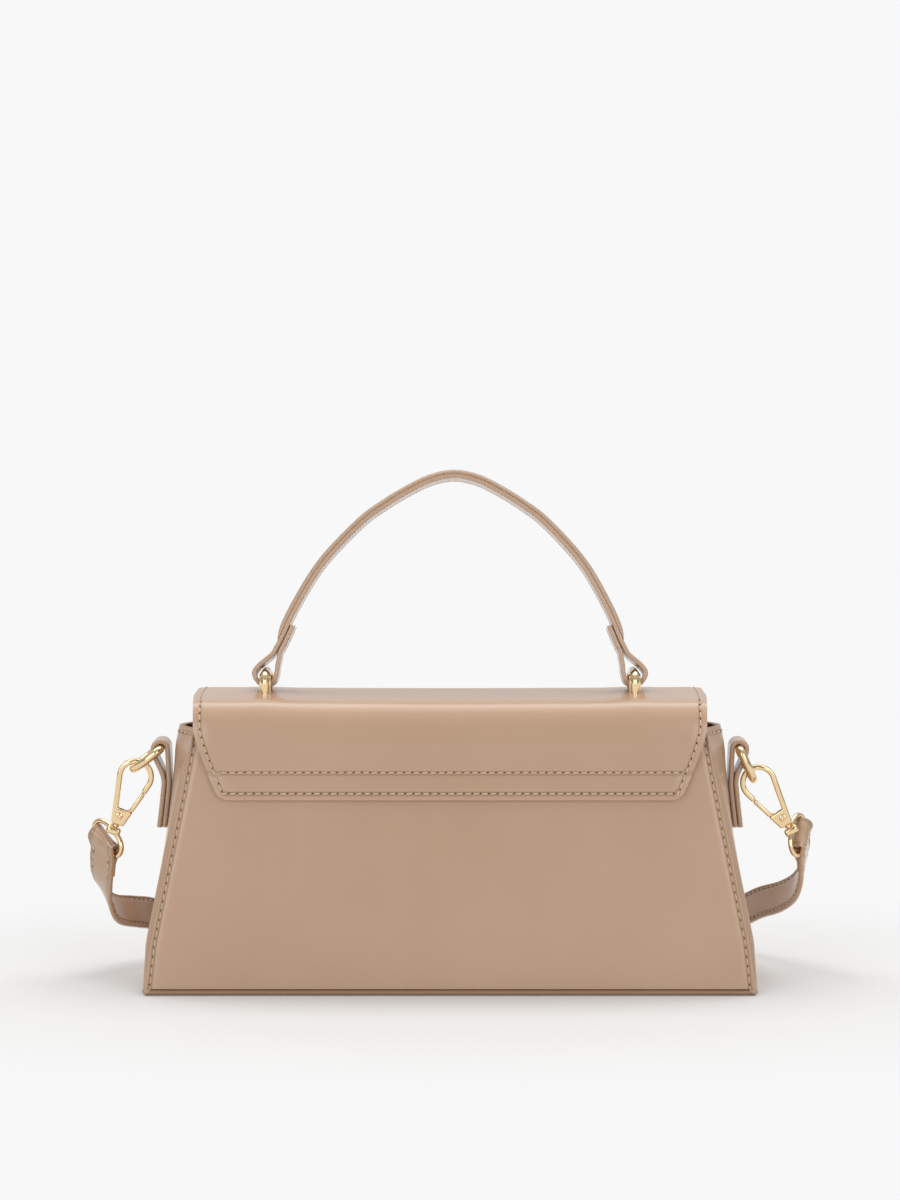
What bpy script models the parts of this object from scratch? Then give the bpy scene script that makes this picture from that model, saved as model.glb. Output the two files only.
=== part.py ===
# Small top-handle leather satchel with a folded flap, a padded handle on two metal bridges,
# and a detachable shoulder strap on two swivel snap hooks. Metres, +Z up. The origin is the
# middle of the flat base. The back, with the flap's closed seam, faces -Y.

import math

import bmesh
import bpy
from mathutils import Matrix, Vector

for old in list(bpy.data.objects):
    bpy.data.objects.remove(old, do_unlink=True)

# Body
BASE_WIDTH = 0.2706
BASE_DEPTH = 0.0820
RIM_WIDTH = 0.2256
RIM_DEPTH = 0.0620
RIM_HEIGHT = 0.1142
BASE_THICKNESS = 0.0026
PANEL_THICKNESS = 0.0020
GUSSET_THICKNESS = 0.0016
SEAM_GAP = 0.0003

# Flap
FLAP_TOP_RISE = 0.0158
FLAP_HALF_WIDTH = 0.1140
FLAP_LEATHER_THICKNESS = 0.0016
FLAP_LINING_THICKNESS = 0.0010
FLAP_SEAM_DROP = 0.0139
FLAP_TAIL_LENGTH = 0.0137
FLAP_FRONT_DROP = 0.0622
flap_top_height = RIM_HEIGHT + FLAP_TOP_RISE
flap_seam_height = RIM_HEIGHT - FLAP_SEAM_DROP
flap_tail_height = flap_seam_height - FLAP_TAIL_LENGTH
flap_front_height = RIM_HEIGHT - FLAP_FRONT_DROP

# Handle and its bridges
BRIDGE_INSET = 0.0314
BRIDGE_RISE = 0.0097
bridge_top_height = flap_top_height + BRIDGE_RISE
HANDLE_RISE = 0.0920
HANDLE_WIDTH = 0.0140
HANDLE_LEAN = math.radians(10.5)

# Side tabs, rings and hooks
TAB_WIDTH = 0.0150
RING_WIRE_RADIUS = 0.0019
RING_REACH = 0.0160
HOOK_LENGTH = 0.0276
HOOK_DEPTH = 0.0036

# Shoulder strap
STRAP_WIDTH = 0.0150
STRAP_THICKNESS = 0.0023


def material(name, colour, roughness, metallic):
    skin = bpy.data.materials.new(name)
    skin.use_nodes = True
    shader = skin.node_tree.nodes["Principled BSDF"]
    shader.inputs["Base Color"].default_value = (*colour, 1)
    shader.inputs["Roughness"].default_value = roughness
    shader.inputs["Metallic"].default_value = metallic
    skin.diffuse_color = (*colour, 1)
    return skin


LEATHER = material("taupe_leather", (0.52, 0.36, 0.245), 0.42, 0)
LEATHER_INSIDE = material("leather_flesh_side", (0.47, 0.33, 0.23), 0.70, 0)
LINING_CLOTH = material("lining_cloth", (0.30, 0.21, 0.15), 0.90, 0)
BOARD = material("grey_board", (0.35, 0.33, 0.30), 0.85, 0)
GOLD = material("pale_gold_plate", (0.86, 0.66, 0.36), 0.20, 1)
STEEL = material("plain_steel", (0.55, 0.54, 0.52), 0.35, 1)


def add_object(name, mesh, skin, at=(0, 0, 0), turn=(0, 0, 0)):
    obj = bpy.data.objects.new(name, mesh)
    bpy.context.scene.collection.objects.link(obj)
    obj.data.materials.append(skin)
    obj.location = at
    obj.rotation_euler = turn
    return obj


def finish_mesh(name, shape, smooth_angle=math.radians(35)):
    bmesh.ops.remove_doubles(shape, verts=shape.verts, dist=1e-7)
    bmesh.ops.recalc_face_normals(shape, faces=shape.faces)
    mesh = bpy.data.meshes.new(name)
    shape.to_mesh(mesh)
    shape.free()
    mesh.shade_smooth()
    mesh.set_sharp_from_angle(angle=smooth_angle)
    return mesh


def sheet_mesh(name, rows, closed=False, floor=False):
    """A surface through rows of points, for a thickness to be added to."""
    shape = bmesh.new()
    verts = [[shape.verts.new(point) for point in row] for row in rows]
    count = len(rows[0])
    for low, high in zip(verts, verts[1:]):
        for i in range(count if closed else count - 1):
            j = (i + 1) % count
            shape.faces.new((low[i], low[j], high[j], high[i]))
    if floor:
        shape.faces.new(list(reversed(verts[0])))
    bmesh.ops.recalc_face_normals(shape, faces=shape.faces)
    mesh = bpy.data.meshes.new(name)
    shape.to_mesh(mesh)
    shape.free()
    mesh.shade_smooth()
    mesh.set_sharp_from_angle(angle=math.radians(50))
    return mesh


def loft_mesh(name, rings, closed=False):
    """A solid through rings of points, with flat ends unless it closes on itself."""
    shape = bmesh.new()
    verts = [[shape.verts.new(point) for point in ring] for ring in rings]
    count = len(rings[0])
    pairs = list(zip(verts, verts[1:]))
    if closed:
        pairs.append((verts[-1], verts[0]))
    for low, high in pairs:
        for i in range(count):
            j = (i + 1) % count
            shape.faces.new((low[i], low[j], high[j], high[i]))
    if not closed:
        shape.faces.new(list(reversed(verts[0])))
        shape.faces.new(verts[-1])
    return finish_mesh(name, shape)


def plate_mesh(name, outline, thickness, axis):
    """A flat outline given thickness along one axis, half to each side."""
    shape = bmesh.new()
    face = shape.faces.new([shape.verts.new(point) for point in outline])
    along = Vector(axis) * thickness
    grown = bmesh.ops.extrude_face_region(shape, geom=[face])
    moved = [v for v in grown["geom"] if isinstance(v, bmesh.types.BMVert)]
    bmesh.ops.translate(shape, verts=moved, vec=along)
    bmesh.ops.translate(shape, verts=shape.verts, vec=along / -2)
    return finish_mesh(name, shape)


def thicken(obj, thickness, side=0):
    solid = obj.modifiers.new("Thickness", "SOLIDIFY")
    solid.thickness = thickness
    solid.offset = side
    solid.use_even_offset = True
    return solid


def soften(obj, width, segments=1):
    bevel = obj.modifiers.new("Soft edges", "BEVEL")
    bevel.width = width
    bevel.segments = segments
    bevel.limit_method = "ANGLE"
    bevel.angle_limit = math.radians(40)
    return bevel


def combine(obj, cutter, operation):
    change = obj.modifiers.new(operation.title(), "BOOLEAN")
    change.operation = operation
    change.object = cutter
    cutter.hide_render = True
    cutter.display_type = "WIRE"
    return change


def cylinder_mesh(name, radius, length, sides, turn=None):
    shape = bmesh.new()
    bmesh.ops.create_cone(
        shape, cap_ends=True, segments=sides, radius1=radius, radius2=radius, depth=length
    )
    if turn is not None:
        bmesh.ops.transform(shape, matrix=turn, verts=shape.verts)
    return finish_mesh(name, shape)


def smooth_line(points, steps):
    """Points on a smooth curve through the given ones, steps to each stretch."""
    points = [Vector(p) for p in points]
    ends = [2 * points[0] - points[1], *points, 2 * points[-1] - points[-2]]
    line = []
    for a, b, c, d in zip(ends, ends[1:], ends[2:], ends[3:]):
        for k in range(steps):
            t = k / steps
            line.append(
                0.5
                * (
                    2 * b
                    + (c - a) * t
                    + (2 * a - 5 * b + 4 * c - d) * t**2
                    + (3 * b - a - 3 * c + d) * t**3
                )
            )
    return [*line, points[-1]]


def between(low, high, share):
    return low + (high - low) * share


# The body's taper: half its width and half its depth at any height, on the outer faces of the
# front and back panels.
def rise_share(height):
    return (height - BASE_THICKNESS) / (RIM_HEIGHT - BASE_THICKNESS)


def half_width(height):
    return between(BASE_WIDTH, RIM_WIDTH, rise_share(height)) / 2


def half_depth(height):
    return between(BASE_DEPTH, RIM_DEPTH, rise_share(height)) / 2


# Base panel: a leather plate with a turned edge that shows as a strip below the panels. Its
# underside is the flat face that the bag stands on.
BASE_CORNER_RADIUS = 0.0030
BASE_EDGE_SOFTNESS = 0.0006
BASE_CORNER_STEPS = 4


def rounded_rectangle(half_x, half_y, radius, height, steps):
    points = []
    for quarter in range(4):
        side_x = half_x - radius if quarter in (0, 3) else radius - half_x
        side_y = half_y - radius if quarter in (0, 1) else radius - half_y
        for k in range(steps + 1):
            angle = math.pi / 2 * (quarter + k / steps)
            points.append(
                (
                    side_x + radius * math.cos(angle),
                    side_y + radius * math.sin(angle),
                    height,
                )
            )
    return points


base_outline = rounded_rectangle(
    BASE_WIDTH / 2, BASE_DEPTH / 2, BASE_CORNER_RADIUS, 0, BASE_CORNER_STEPS
)
base_panel = add_object(
    "base_panel",
    plate_mesh("base_panel", base_outline, BASE_THICKNESS, (0, 0, 1)),
    LEATHER,
    at=(0, 0, BASE_THICKNESS / 2),
)
soften(base_panel, BASE_EDGE_SOFTNESS)

# Base board: the stiff insert that lies on the base panel, inside the seams.
BOARD_THICKNESS = 0.0018
WALL_STACK = PANEL_THICKNESS + SEAM_GAP + GUSSET_THICKNESS + SEAM_GAP
BOARD_END_INSET = 0.0030
board_height = BASE_THICKNESS + SEAM_GAP + BOARD_THICKNESS / 2
board_half_y = half_depth(board_height) - WALL_STACK - SEAM_GAP
board_half_x = half_width(board_height) - BOARD_END_INSET
base_board = add_object(
    "base_board",
    plate_mesh(
        "base_board",
        rounded_rectangle(board_half_x, board_half_y, BASE_CORNER_RADIUS, 0, BASE_CORNER_STEPS),
        BOARD_THICKNESS,
        (0, 0, 1),
    ),
    BOARD,
    at=(0, 0, board_height),
)

# Front and back panels: flat trapezoids that lean in towards the rim.
PANEL_CORNER_CUT = 0.0022
PANEL_EDGE_SOFTNESS = 0.0005
panel_foot = BASE_THICKNESS + SEAM_GAP
panel_lean = math.atan((BASE_DEPTH - RIM_DEPTH) / 2 / (RIM_HEIGHT - BASE_THICKNESS))


def panel_outline(side):
    outline = []
    for sign, ends in ((-1, (panel_foot, RIM_HEIGHT)), (1, (RIM_HEIGHT, panel_foot))):
        for height in ends:
            inward = PANEL_CORNER_CUT if height == RIM_HEIGHT else 0
            steps = ((inward, 0), (0, inward)) if inward else ((0, 0),)
            if sign > 0:
                steps = tuple(reversed(steps))
            for drop, draw in steps:
                z = height - drop
                outline.append((sign * (half_width(z) - draw), side * half_depth(z), z))
    return outline


def outer_side(obj, outward):
    """Which side of the sheet the thickness goes to, so that the outer face stays put."""
    normal = obj.data.polygons[0].normal
    return -1 if normal.dot(Vector(outward)) > 0 else 1


for name, side in (("back_panel", -1), ("front_panel", 1)):
    outward = Vector((0, side * math.cos(panel_lean), math.sin(panel_lean)))
    panel = add_object(
        name,
        plate_mesh(name, panel_outline(side), PANEL_THICKNESS, outward),
        LEATHER,
        at=outward * PANEL_THICKNESS / -2,
    )
    soften(panel, PANEL_EDGE_SOFTNESS)

# Gussets: one sheet a side, with a flange stitched behind each panel's edge, a turned lip
# that shows beside that edge, and a web that swells outwards towards the rim.
GUSSET_FLANGE = 0.0065
GUSSET_LIP = 0.0023
GUSSET_CORNER_RADIUS = 0.0022
GUSSET_SWELL = 0.0108
GUSSET_SWELL_POWER = 2.5
LIP_FADE_HEIGHT = 0.0200
GUSSET_FOOT_LIP_SHARE = 0.1
GUSSET_ROWS = 9
GUSSET_COLUMNS = 8
GUSSET_CORNER_STEPS = 3


def gusset_lip(height):
    fade = min(1, (height - BASE_THICKNESS) / LIP_FADE_HEIGHT)
    return GUSSET_LIP * between(GUSSET_FOOT_LIP_SHARE, 1, fade)


def gusset_reach(height, y, inset=0):
    """Distance from the middle of the bag to the gusset's outer face, or inset from it."""
    edge = half_depth(height) - PANEL_THICKNESS - SEAM_GAP - GUSSET_CORNER_RADIUS
    swell = (GUSSET_SWELL - GUSSET_LIP) * max(0, rise_share(height)) ** GUSSET_SWELL_POWER
    across = max(0, 1 - (abs(y) / edge) ** 2)
    return half_width(height) + gusset_lip(height) + swell * across - inset


def gusset_section(height, side, inset=0, flange=True):
    """The gusset's outline at one height, from the back flange round to the front one."""
    face = half_depth(height) - PANEL_THICKNESS - SEAM_GAP - inset
    radius = GUSSET_CORNER_RADIUS
    edge = half_depth(height) - PANEL_THICKNESS - SEAM_GAP - radius
    points = []
    for sign in (-1, 1):
        corner = []
        lip_x = half_width(height) + gusset_lip(height) - inset
        for k in range(GUSSET_CORNER_STEPS + 1):
            angle = math.pi / 2 * k / GUSSET_CORNER_STEPS
            turn = max(radius - inset, SEAM_GAP)
            corner.append(
                (
                    lip_x - turn + turn * math.sin(angle),
                    sign * (face - turn + turn * math.cos(angle)),
                )
            )
        if flange:
            corner.insert(0, (half_width(height) - GUSSET_FLANGE, sign * face))
        points.append(corner)
    web = []
    for k in range(1, GUSSET_COLUMNS):
        y = between(-edge, edge, k / GUSSET_COLUMNS)
        web.append((gusset_reach(height, y, inset), y))
    whole = [*points[0], *web, *reversed(points[1])]
    return [(side * x, y, height) for x, y in whole]


gusset_heights = [between(panel_foot, RIM_HEIGHT, k / GUSSET_ROWS) for k in range(GUSSET_ROWS + 1)]
for name, side in (("gusset_left", -1), ("gusset_right", 1)):
    rows = [gusset_section(height, side) for height in gusset_heights]
    gusset = add_object(name, sheet_mesh(name, rows), LEATHER)
    thicken(gusset, GUSSET_THICKNESS, outer_side(gusset, (0, -1, 0)))

# Lining and facing: a leather band inside the rim, and below it the cloth bag that stands on
# the base board. Both follow the inside of the walls.
FACING_HEIGHT = 0.0180
FACING_THICKNESS = 0.0010
LINING_THICKNESS = 0.0008
FACING_RIM_DROP = 0.0004
LINING_CLEARANCE = 0.0008
lining_inset = GUSSET_THICKNESS + LINING_CLEARANCE
lining_foot = board_height + BOARD_THICKNESS / 2 + SEAM_GAP
facing_foot = RIM_HEIGHT - FACING_HEIGHT


def wall_heights(low, high):
    """A stretch's two ends and the gusset's own rows between them, so that the walls run alike."""
    return [low, *[h for h in gusset_heights if low + SEAM_GAP < h < high - SEAM_GAP], high]


def inner_ring(height):
    right = gusset_section(height, 1, lining_inset, flange=False)
    left = gusset_section(height, -1, lining_inset, flange=False)
    return [*right, *reversed(left)]


lining_rows = [inner_ring(h) for h in wall_heights(lining_foot, facing_foot - SEAM_GAP)]
lining = add_object("lining", sheet_mesh("lining", lining_rows, closed=True, floor=True), LINING_CLOTH)
thicken(lining, LINING_THICKNESS, -1)
facing_rows = [inner_ring(h) for h in wall_heights(facing_foot, RIM_HEIGHT - FACING_RIM_DROP)]
facing = add_object("rim_facing", sheet_mesh("rim_facing", facing_rows, closed=True), LEATHER_INSIDE)
thicken(facing, FACING_THICKNESS, -1)

# Flap: from a closed seam on the back panel, over the top and down the front. The sewn tail
# stays on the back panel, and the rest turns about a line just above the upper stitch row.
FLAP_STAND_OFF = 0.0033
FLAP_FRONT_STAND_OFF = 0.0028
FLAP_SHOULDER_RISE_SHARE = 0.30
FLAP_SHOULDER_HEIGHT_SHARES = (0.34, 0.66, 0.88)
FLAP_SHOULDER_INSET_SHARES = (0.06, 0.19, 0.42)
FLAP_SHOULDER_DRAW_SHARE = 0.5
FLAP_CROWN_SHARE = 0.03
TAIL_HALF_WIDTH = 0.1060
TAIL_CORNER_RADIUS = 0.0055
FRONT_HALF_WIDTH = 0.1085
FRONT_CORNER_RADIUS = 0.0140
FLAP_COLUMNS = 8
CORNER_ROW_SHARES = (1, 0.62, 0.3, 0.08, 0)
flap_stack = FLAP_LEATHER_THICKNESS + SEAM_GAP + FLAP_LINING_THICKNESS
sewn_out = SEAM_GAP + flap_stack


def corner_draw(distance, radius):
    """How far a rounded corner draws the edge in, at a distance from the sheet's end."""
    if distance >= radius:
        return 0
    return radius - math.sqrt(radius**2 - (radius - distance) ** 2)


def flap_side_line(front):
    """Points of the flap's outer face between the rim and the top, as (y, z) towards it."""
    side = 1 if front else -1
    stand_off = FLAP_FRONT_STAND_OFF + flap_stack if front else FLAP_STAND_OFF + sewn_out
    reach = RIM_DEPTH / 2 + stand_off
    rise = flap_top_height - RIM_HEIGHT
    points = [(side * reach, RIM_HEIGHT - rise * FLAP_SHOULDER_RISE_SHARE)]
    for up, inset in zip(FLAP_SHOULDER_HEIGHT_SHARES, FLAP_SHOULDER_INSET_SHARES):
        drawn = reach * (1 - inset * FLAP_SHOULDER_DRAW_SHARE)
        points.append((side * drawn, RIM_HEIGHT + rise * up))
    return points


hinge_y = -half_depth(flap_seam_height) - sewn_out
front_foot_y = half_depth(flap_front_height) + FLAP_FRONT_STAND_OFF + flap_stack
back_top_y = -RIM_DEPTH / 2 * (1 - FLAP_SHOULDER_INSET_SHARES[1])
crown_drop = (flap_top_height - RIM_HEIGHT) * FLAP_CROWN_SHARE
front_side = list(reversed(flap_side_line(front=True)))
FRONT_DROP_SHARES = (0.25, 0.5, 0.75)
front_drop = [
    (
        between(front_side[-1][0], front_foot_y, share),
        between(front_side[-1][1], flap_front_height, share),
    )
    for share in FRONT_DROP_SHARES
]
flap_route = [
    (hinge_y, flap_seam_height),
    *flap_side_line(front=False),
    (back_top_y, flap_top_height - crown_drop),
    (0, flap_top_height),
    (-back_top_y, flap_top_height - crown_drop),
    *front_side,
    *front_drop,
    (front_foot_y, flap_front_height),
]
FLAP_ROUTE_STEPS = 2
flap_line = smooth_line([(0, y, z) for y, z in flap_route], FLAP_ROUTE_STEPS)


def line_lengths(line):
    travelled = [0]
    for a, b in zip(line, line[1:]):
        travelled.append(travelled[-1] + (b - a).length)
    return travelled


def offset_line(line, inward):
    """The same line moved sideways in the YZ plane, towards the inside of the bag."""
    stretches = [(b - a).normalized() for a, b in zip(line, line[1:])]
    moved = []
    for i, point in enumerate(line):
        before = stretches[max(i - 1, 0)]
        after = stretches[min(i, len(stretches) - 1)]
        along = (before + after).normalized()
        mitre = Vector((0, along.z, -along.y)) / along.dot(after)
        moved.append(point + mitre * inward)
    return moved


def line_with_end_rows(line, radius):
    """The line with extra points near its last end, where the corners are rounded."""
    lengths = line_lengths(line)
    start = lengths[-1] - radius
    kept = [p for p, s in zip(line, lengths) if s < start - radius / 4]
    last_a, last_b = line[-2], line[-1]
    along = (last_b - last_a).normalized()
    rows = [line[-1] - along * radius * share for share in CORNER_ROW_SHARES]
    return [*kept, *rows]


def flap_rows(line, half_at, radius):
    lengths = line_lengths(line)
    rows = []
    for point, s in zip(line, lengths):
        half = half_at(point) - corner_draw(lengths[-1] - s, radius)
        rows.append(
            [(between(-half, half, k / FLAP_COLUMNS), point.y, point.z) for k in range(FLAP_COLUMNS + 1)]
        )
    return rows


def flap_half(point):
    """Half the flap's width: it tapers below the rim, on the back and on the front."""
    if point.z >= RIM_HEIGHT:
        return FLAP_HALF_WIDTH
    if point.y < 0:
        share = (RIM_HEIGHT - point.z) / (RIM_HEIGHT - flap_tail_height)
        return between(FLAP_HALF_WIDTH, TAIL_HALF_WIDTH, min(1, share))
    share = (RIM_HEIGHT - point.z) / (RIM_HEIGHT - flap_front_height)
    return between(FLAP_HALF_WIDTH, FRONT_HALF_WIDTH, share)


flap_pivot = Vector((0, hinge_y, flap_seam_height))
outer_line = line_with_end_rows(flap_line, FRONT_CORNER_RADIUS)
layer_depths = (
    FLAP_LEATHER_THICKNESS / 2,
    FLAP_LEATHER_THICKNESS + SEAM_GAP + FLAP_LINING_THICKNESS / 2,
)
flap_layers = []
for name, depth, thickness, skin in (
    ("flap_leather", layer_depths[0], FLAP_LEATHER_THICKNESS, LEATHER),
    ("flap_lining", layer_depths[1], FLAP_LINING_THICKNESS, LEATHER_INSIDE),
):
    rows = flap_rows(offset_line(outer_line, depth), flap_half, FRONT_CORNER_RADIUS)
    mesh = sheet_mesh(name, rows)
    mesh.transform(Matrix.Translation(-flap_pivot))
    layer = add_object(name, mesh, skin, at=flap_pivot)
    thicken(layer, thickness)
    flap_layers.append(layer)

# Flap tail: the end sewn flat to the back panel below the turning line, closed all round.
tail_top = Vector((0, hinge_y, flap_seam_height - SEAM_GAP))
tail_foot = Vector((0, -half_depth(flap_tail_height) - sewn_out, flap_tail_height))
tail_line = line_with_end_rows([tail_top, tail_foot], TAIL_CORNER_RADIUS)
tail_line = offset_line(list(reversed(tail_line)), flap_stack / 2)
tail_line = list(reversed(tail_line))
tail_rows = flap_rows(tail_line, flap_half, TAIL_CORNER_RADIUS)
flap_tail = add_object("flap_tail", sheet_mesh("flap_tail", tail_rows), LEATHER)
thicken(flap_tail, flap_stack)

# Bridges: metal arches that the handle hangs on. Each has two prongs through the flap, held
# by a backing plate inside it.
BRIDGE_WIDTH = 0.0052
BRIDGE_THICKNESS = 0.0024
BRIDGE_CLEAR_SPAN = 0.0180
BRIDGE_CORNER_RADIUS = 0.0032
BRIDGE_CORNER_STEPS = 4
BRIDGE_EDGE_SOFTNESS = 0.0004
PRONG_RADIUS = 0.0011
PRONG_SIDES = 8
PLATE_LENGTH = 0.0280
PLATE_WIDTH = 0.0090
PLATE_THICKNESS = 0.0010
PLATE_CORNER_RADIUS = 0.0020
CUT_OVERRUN = 0.0010
bar_height = bridge_top_height - BRIDGE_THICKNESS / 2
leg_y = (BRIDGE_CLEAR_SPAN + BRIDGE_THICKNESS) / 2
foot_height = flap_top_height + SEAM_GAP
plate_top = flap_top_height - crown_drop - flap_stack - SEAM_GAP
plate_height = plate_top - PLATE_THICKNESS / 2
prong_foot = plate_top - PLATE_THICKNESS
along_y = Matrix.Rotation(math.pi / 2, 4, "X")


def arch_line():
    radius = BRIDGE_CORNER_RADIUS
    line = [Vector((0, -leg_y, foot_height))]
    for side in (-1, 1):
        for k in range(BRIDGE_CORNER_STEPS + 1):
            share = k / BRIDGE_CORNER_STEPS
            angle = math.pi / 2 * (share if side < 0 else 1 - share)
            line.append(
                Vector(
                    (
                        0,
                        side * (leg_y - radius + radius * math.cos(angle)),
                        bar_height - radius + radius * math.sin(angle),
                    )
                )
            )
    line.append(Vector((0, leg_y, foot_height)))
    return line


def ribbon_rows(line, width, across):
    half = Vector(across) * width / 2
    return [[point - half, point + half] for point in line]


def prong_mesh(name, radius, low, high):
    shape = bmesh.new()
    for side in (-1, 1):
        bmesh.ops.create_cone(
            shape,
            cap_ends=True,
            segments=PRONG_SIDES,
            radius1=radius,
            radius2=radius,
            depth=high - low,
            matrix=Matrix.Translation((0, side * leg_y, (low + high) / 2)),
        )
    return finish_mesh(name, shape)


prong_low = prong_foot - CUT_OVERRUN
prong_high = foot_height + CUT_OVERRUN
bridge_x = FLAP_HALF_WIDTH - BRIDGE_INSET
for name, side in (("left", -1), ("right", 1)):
    arch = add_object(
        "bridge_" + name,
        sheet_mesh("bridge", ribbon_rows(arch_line(), BRIDGE_WIDTH, (1, 0, 0))),
        GOLD,
        at=(side * bridge_x, 0, 0),
    )
    thicken(arch, BRIDGE_THICKNESS)
    soften(arch, BRIDGE_EDGE_SOFTNESS)
    prongs = add_object(
        "prongs_" + name,
        prong_mesh("prongs", PRONG_RADIUS, prong_foot, foot_height + BRIDGE_THICKNESS / 2),
        GOLD,
        at=(side * bridge_x, 0, 0),
    )
    combine(arch, prongs, "UNION")
    holes = add_object(
        "prong_holes_" + name,
        prong_mesh("prong_holes", PRONG_RADIUS + SEAM_GAP, prong_low, prong_high),
        STEEL,
        at=(side * bridge_x, 0, 0),
    )
    plate = add_object(
        "bridge_plate_" + name,
        plate_mesh(
            "bridge_plate",
            rounded_rectangle(
                PLATE_WIDTH / 2, PLATE_LENGTH / 2, PLATE_CORNER_RADIUS, 0, BASE_CORNER_STEPS
            ),
            PLATE_THICKNESS,
            (0, 0, 1),
        ),
        STEEL,
        at=(side * bridge_x, 0, plate_height),
    )
    for pierced in (plate, *flap_layers):
        combine(pierced, holes, "DIFFERENCE")

# Handle: one leather strap whose ends loop round the bridge bars and are sewn back on its
# inner side, with a padded cover along the top. It leans back a little on the bars.
HANDLE_STRAP_THICKNESS = 0.0022
HANDLE_COVER_EDGE = 0.0009
HANDLE_COVER_CROWN = 0.0016
HANDLE_COVER_INSET = 0.0003
HANDLE_TAIL_GAP = 0.0004
HANDLE_TAIL_RISE = 0.0220
COVER_FOOT_RISE = 0.0138
LOOP_SIDE_CLEARANCE = 0.0008
LOOP_SLACK = 0.0026
HANDLE_ARCH_SHARES = (
    (0, 1),
    (0.120, 0.981),
    (0.238, 0.920),
    (0.504, 0.752),
    (0.699, 0.557),
    (0.837, 0.343),
    (0.919, 0.175),
    (0.946, 0.125),
)
LOOP_SHARES = (
    (-0.62, 1.92),
    (0.08, 1.56),
    (0.74, 0.94),
    (1, 0),
    (0.72, -0.72),
    (0, -1),
    (-0.72, -0.72),
    (-1, 0),
    (-1.08, 0.75),
)
HANDLE_STEPS = 3
COVER_TOP_SHARES = ((-1, 0), (-0.93, 0.55), (-0.5, 0.9), (0, 1), (0.5, 0.9), (0.93, 0.55), (1, 0))
handle_pivot = Vector((0, 0, bar_height))
arch_rise = HANDLE_RISE - HANDLE_COVER_CROWN - SEAM_GAP - HANDLE_STRAP_THICKNESS / 2
loop_side = BRIDGE_WIDTH / 2 + LOOP_SIDE_CLEARANCE + HANDLE_STRAP_THICKNESS / 2
loop_low = BRIDGE_THICKNESS / 2 + LOOP_SLACK + HANDLE_STRAP_THICKNESS / 2


def offset_in_xz(line, inward):
    """The line moved sideways in the XZ plane: to the right of its travel, seen from the back."""
    turned = [Vector((0, p.x, p.z)) for p in line]
    return [Vector((p.y, 0, p.z)) for p in offset_line(turned, inward)]


arch_points = [(x * bridge_x, 0, z * arch_rise) for x, z in HANDLE_ARCH_SHARES]
loop_points = [(bridge_x + x * loop_side, 0, z * loop_low) for x, z in LOOP_SHARES]
before_top = (-arch_points[1][0], 0, arch_points[1][2])
half_line = smooth_line([before_top, *arch_points, *loop_points], HANDLE_STEPS)[HANDLE_STEPS:]
arch_count = (len(HANDLE_ARCH_SHARES) - 1) * HANDLE_STEPS + 1
arch_part = half_line[:arch_count]
tail_depth = HANDLE_STRAP_THICKNESS + HANDLE_TAIL_GAP
tail_part = [
    p for p in offset_in_xz(arch_part, tail_depth) if p.z < HANDLE_TAIL_RISE and p.x > 0
]
right_half = [*half_line, *reversed(tail_part)]
left_half = [Vector((-p.x, 0, p.z)) for p in reversed(right_half[1:])]
strap_rows = ribbon_rows([*left_half, *right_half], HANDLE_WIDTH, (0, 1, 0))
handle_strap = add_object(
    "handle_strap",
    sheet_mesh("handle_strap", strap_rows),
    LEATHER,
    at=handle_pivot,
    turn=(-HANDLE_LEAN, 0, 0),
)
thicken(handle_strap, HANDLE_STRAP_THICKNESS)

cover_depth = HANDLE_STRAP_THICKNESS / 2 + SEAM_GAP
cover_right = [p for p in arch_part if p.z > COVER_FOOT_RISE]
cover_line = [*[Vector((-p.x, 0, p.z)) for p in reversed(cover_right[1:])], *cover_right]
low_line = offset_in_xz(cover_line, -cover_depth)
edge_line = offset_in_xz(cover_line, -cover_depth - HANDLE_COVER_EDGE)
crown_line = offset_in_xz(cover_line, -cover_depth - HANDLE_COVER_CROWN)
cover_rings = []
cover_half = HANDLE_WIDTH / 2 - HANDLE_COVER_INSET
for low, edge, crown in zip(low_line, edge_line, crown_line):
    ring = [low + Vector((0, cover_half, 0)), low - Vector((0, cover_half, 0))]
    for across, up in COVER_TOP_SHARES:
        ring.append(edge.lerp(crown, up) + Vector((0, across * cover_half, 0)))
    cover_rings.append(ring)
handle_cover = add_object(
    "handle_cover",
    loft_mesh("handle_cover", cover_rings),
    LEATHER,
    at=handle_pivot,
    turn=(-HANDLE_LEAN, 0, 0),
)

# Side tabs: a leather strip folded over the ring's straight bar and sewn double to the
# middle of the gusset.
TAB_THICKNESS = 0.0021
TAB_LOOP_DROP = 0.0089
TAB_LENGTH = 0.0353
TAB_LOOP_STAND_OFF = 0.0014
TAB_LOOP_CLEARANCE = 0.0003
TAB_CLOSE_DROP = 0.0125
TAB_ROW_SHARES = (0, 0.33, 0.66, 1)
TAB_LOOP_STEPS = 8
tab_loop_height = RIM_HEIGHT - TAB_LOOP_DROP
tab_foot_height = tab_loop_height - TAB_LENGTH
tab_loop_radius = RING_WIRE_RADIUS + TAB_LOOP_CLEARANCE + TAB_THICKNESS / 2


def tab_layer_x(height, layer):
    lie = SEAM_GAP + TAB_THICKNESS / 2
    return gusset_reach(height, 0) + lie + layer * (TAB_THICKNESS + SEAM_GAP)


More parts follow.
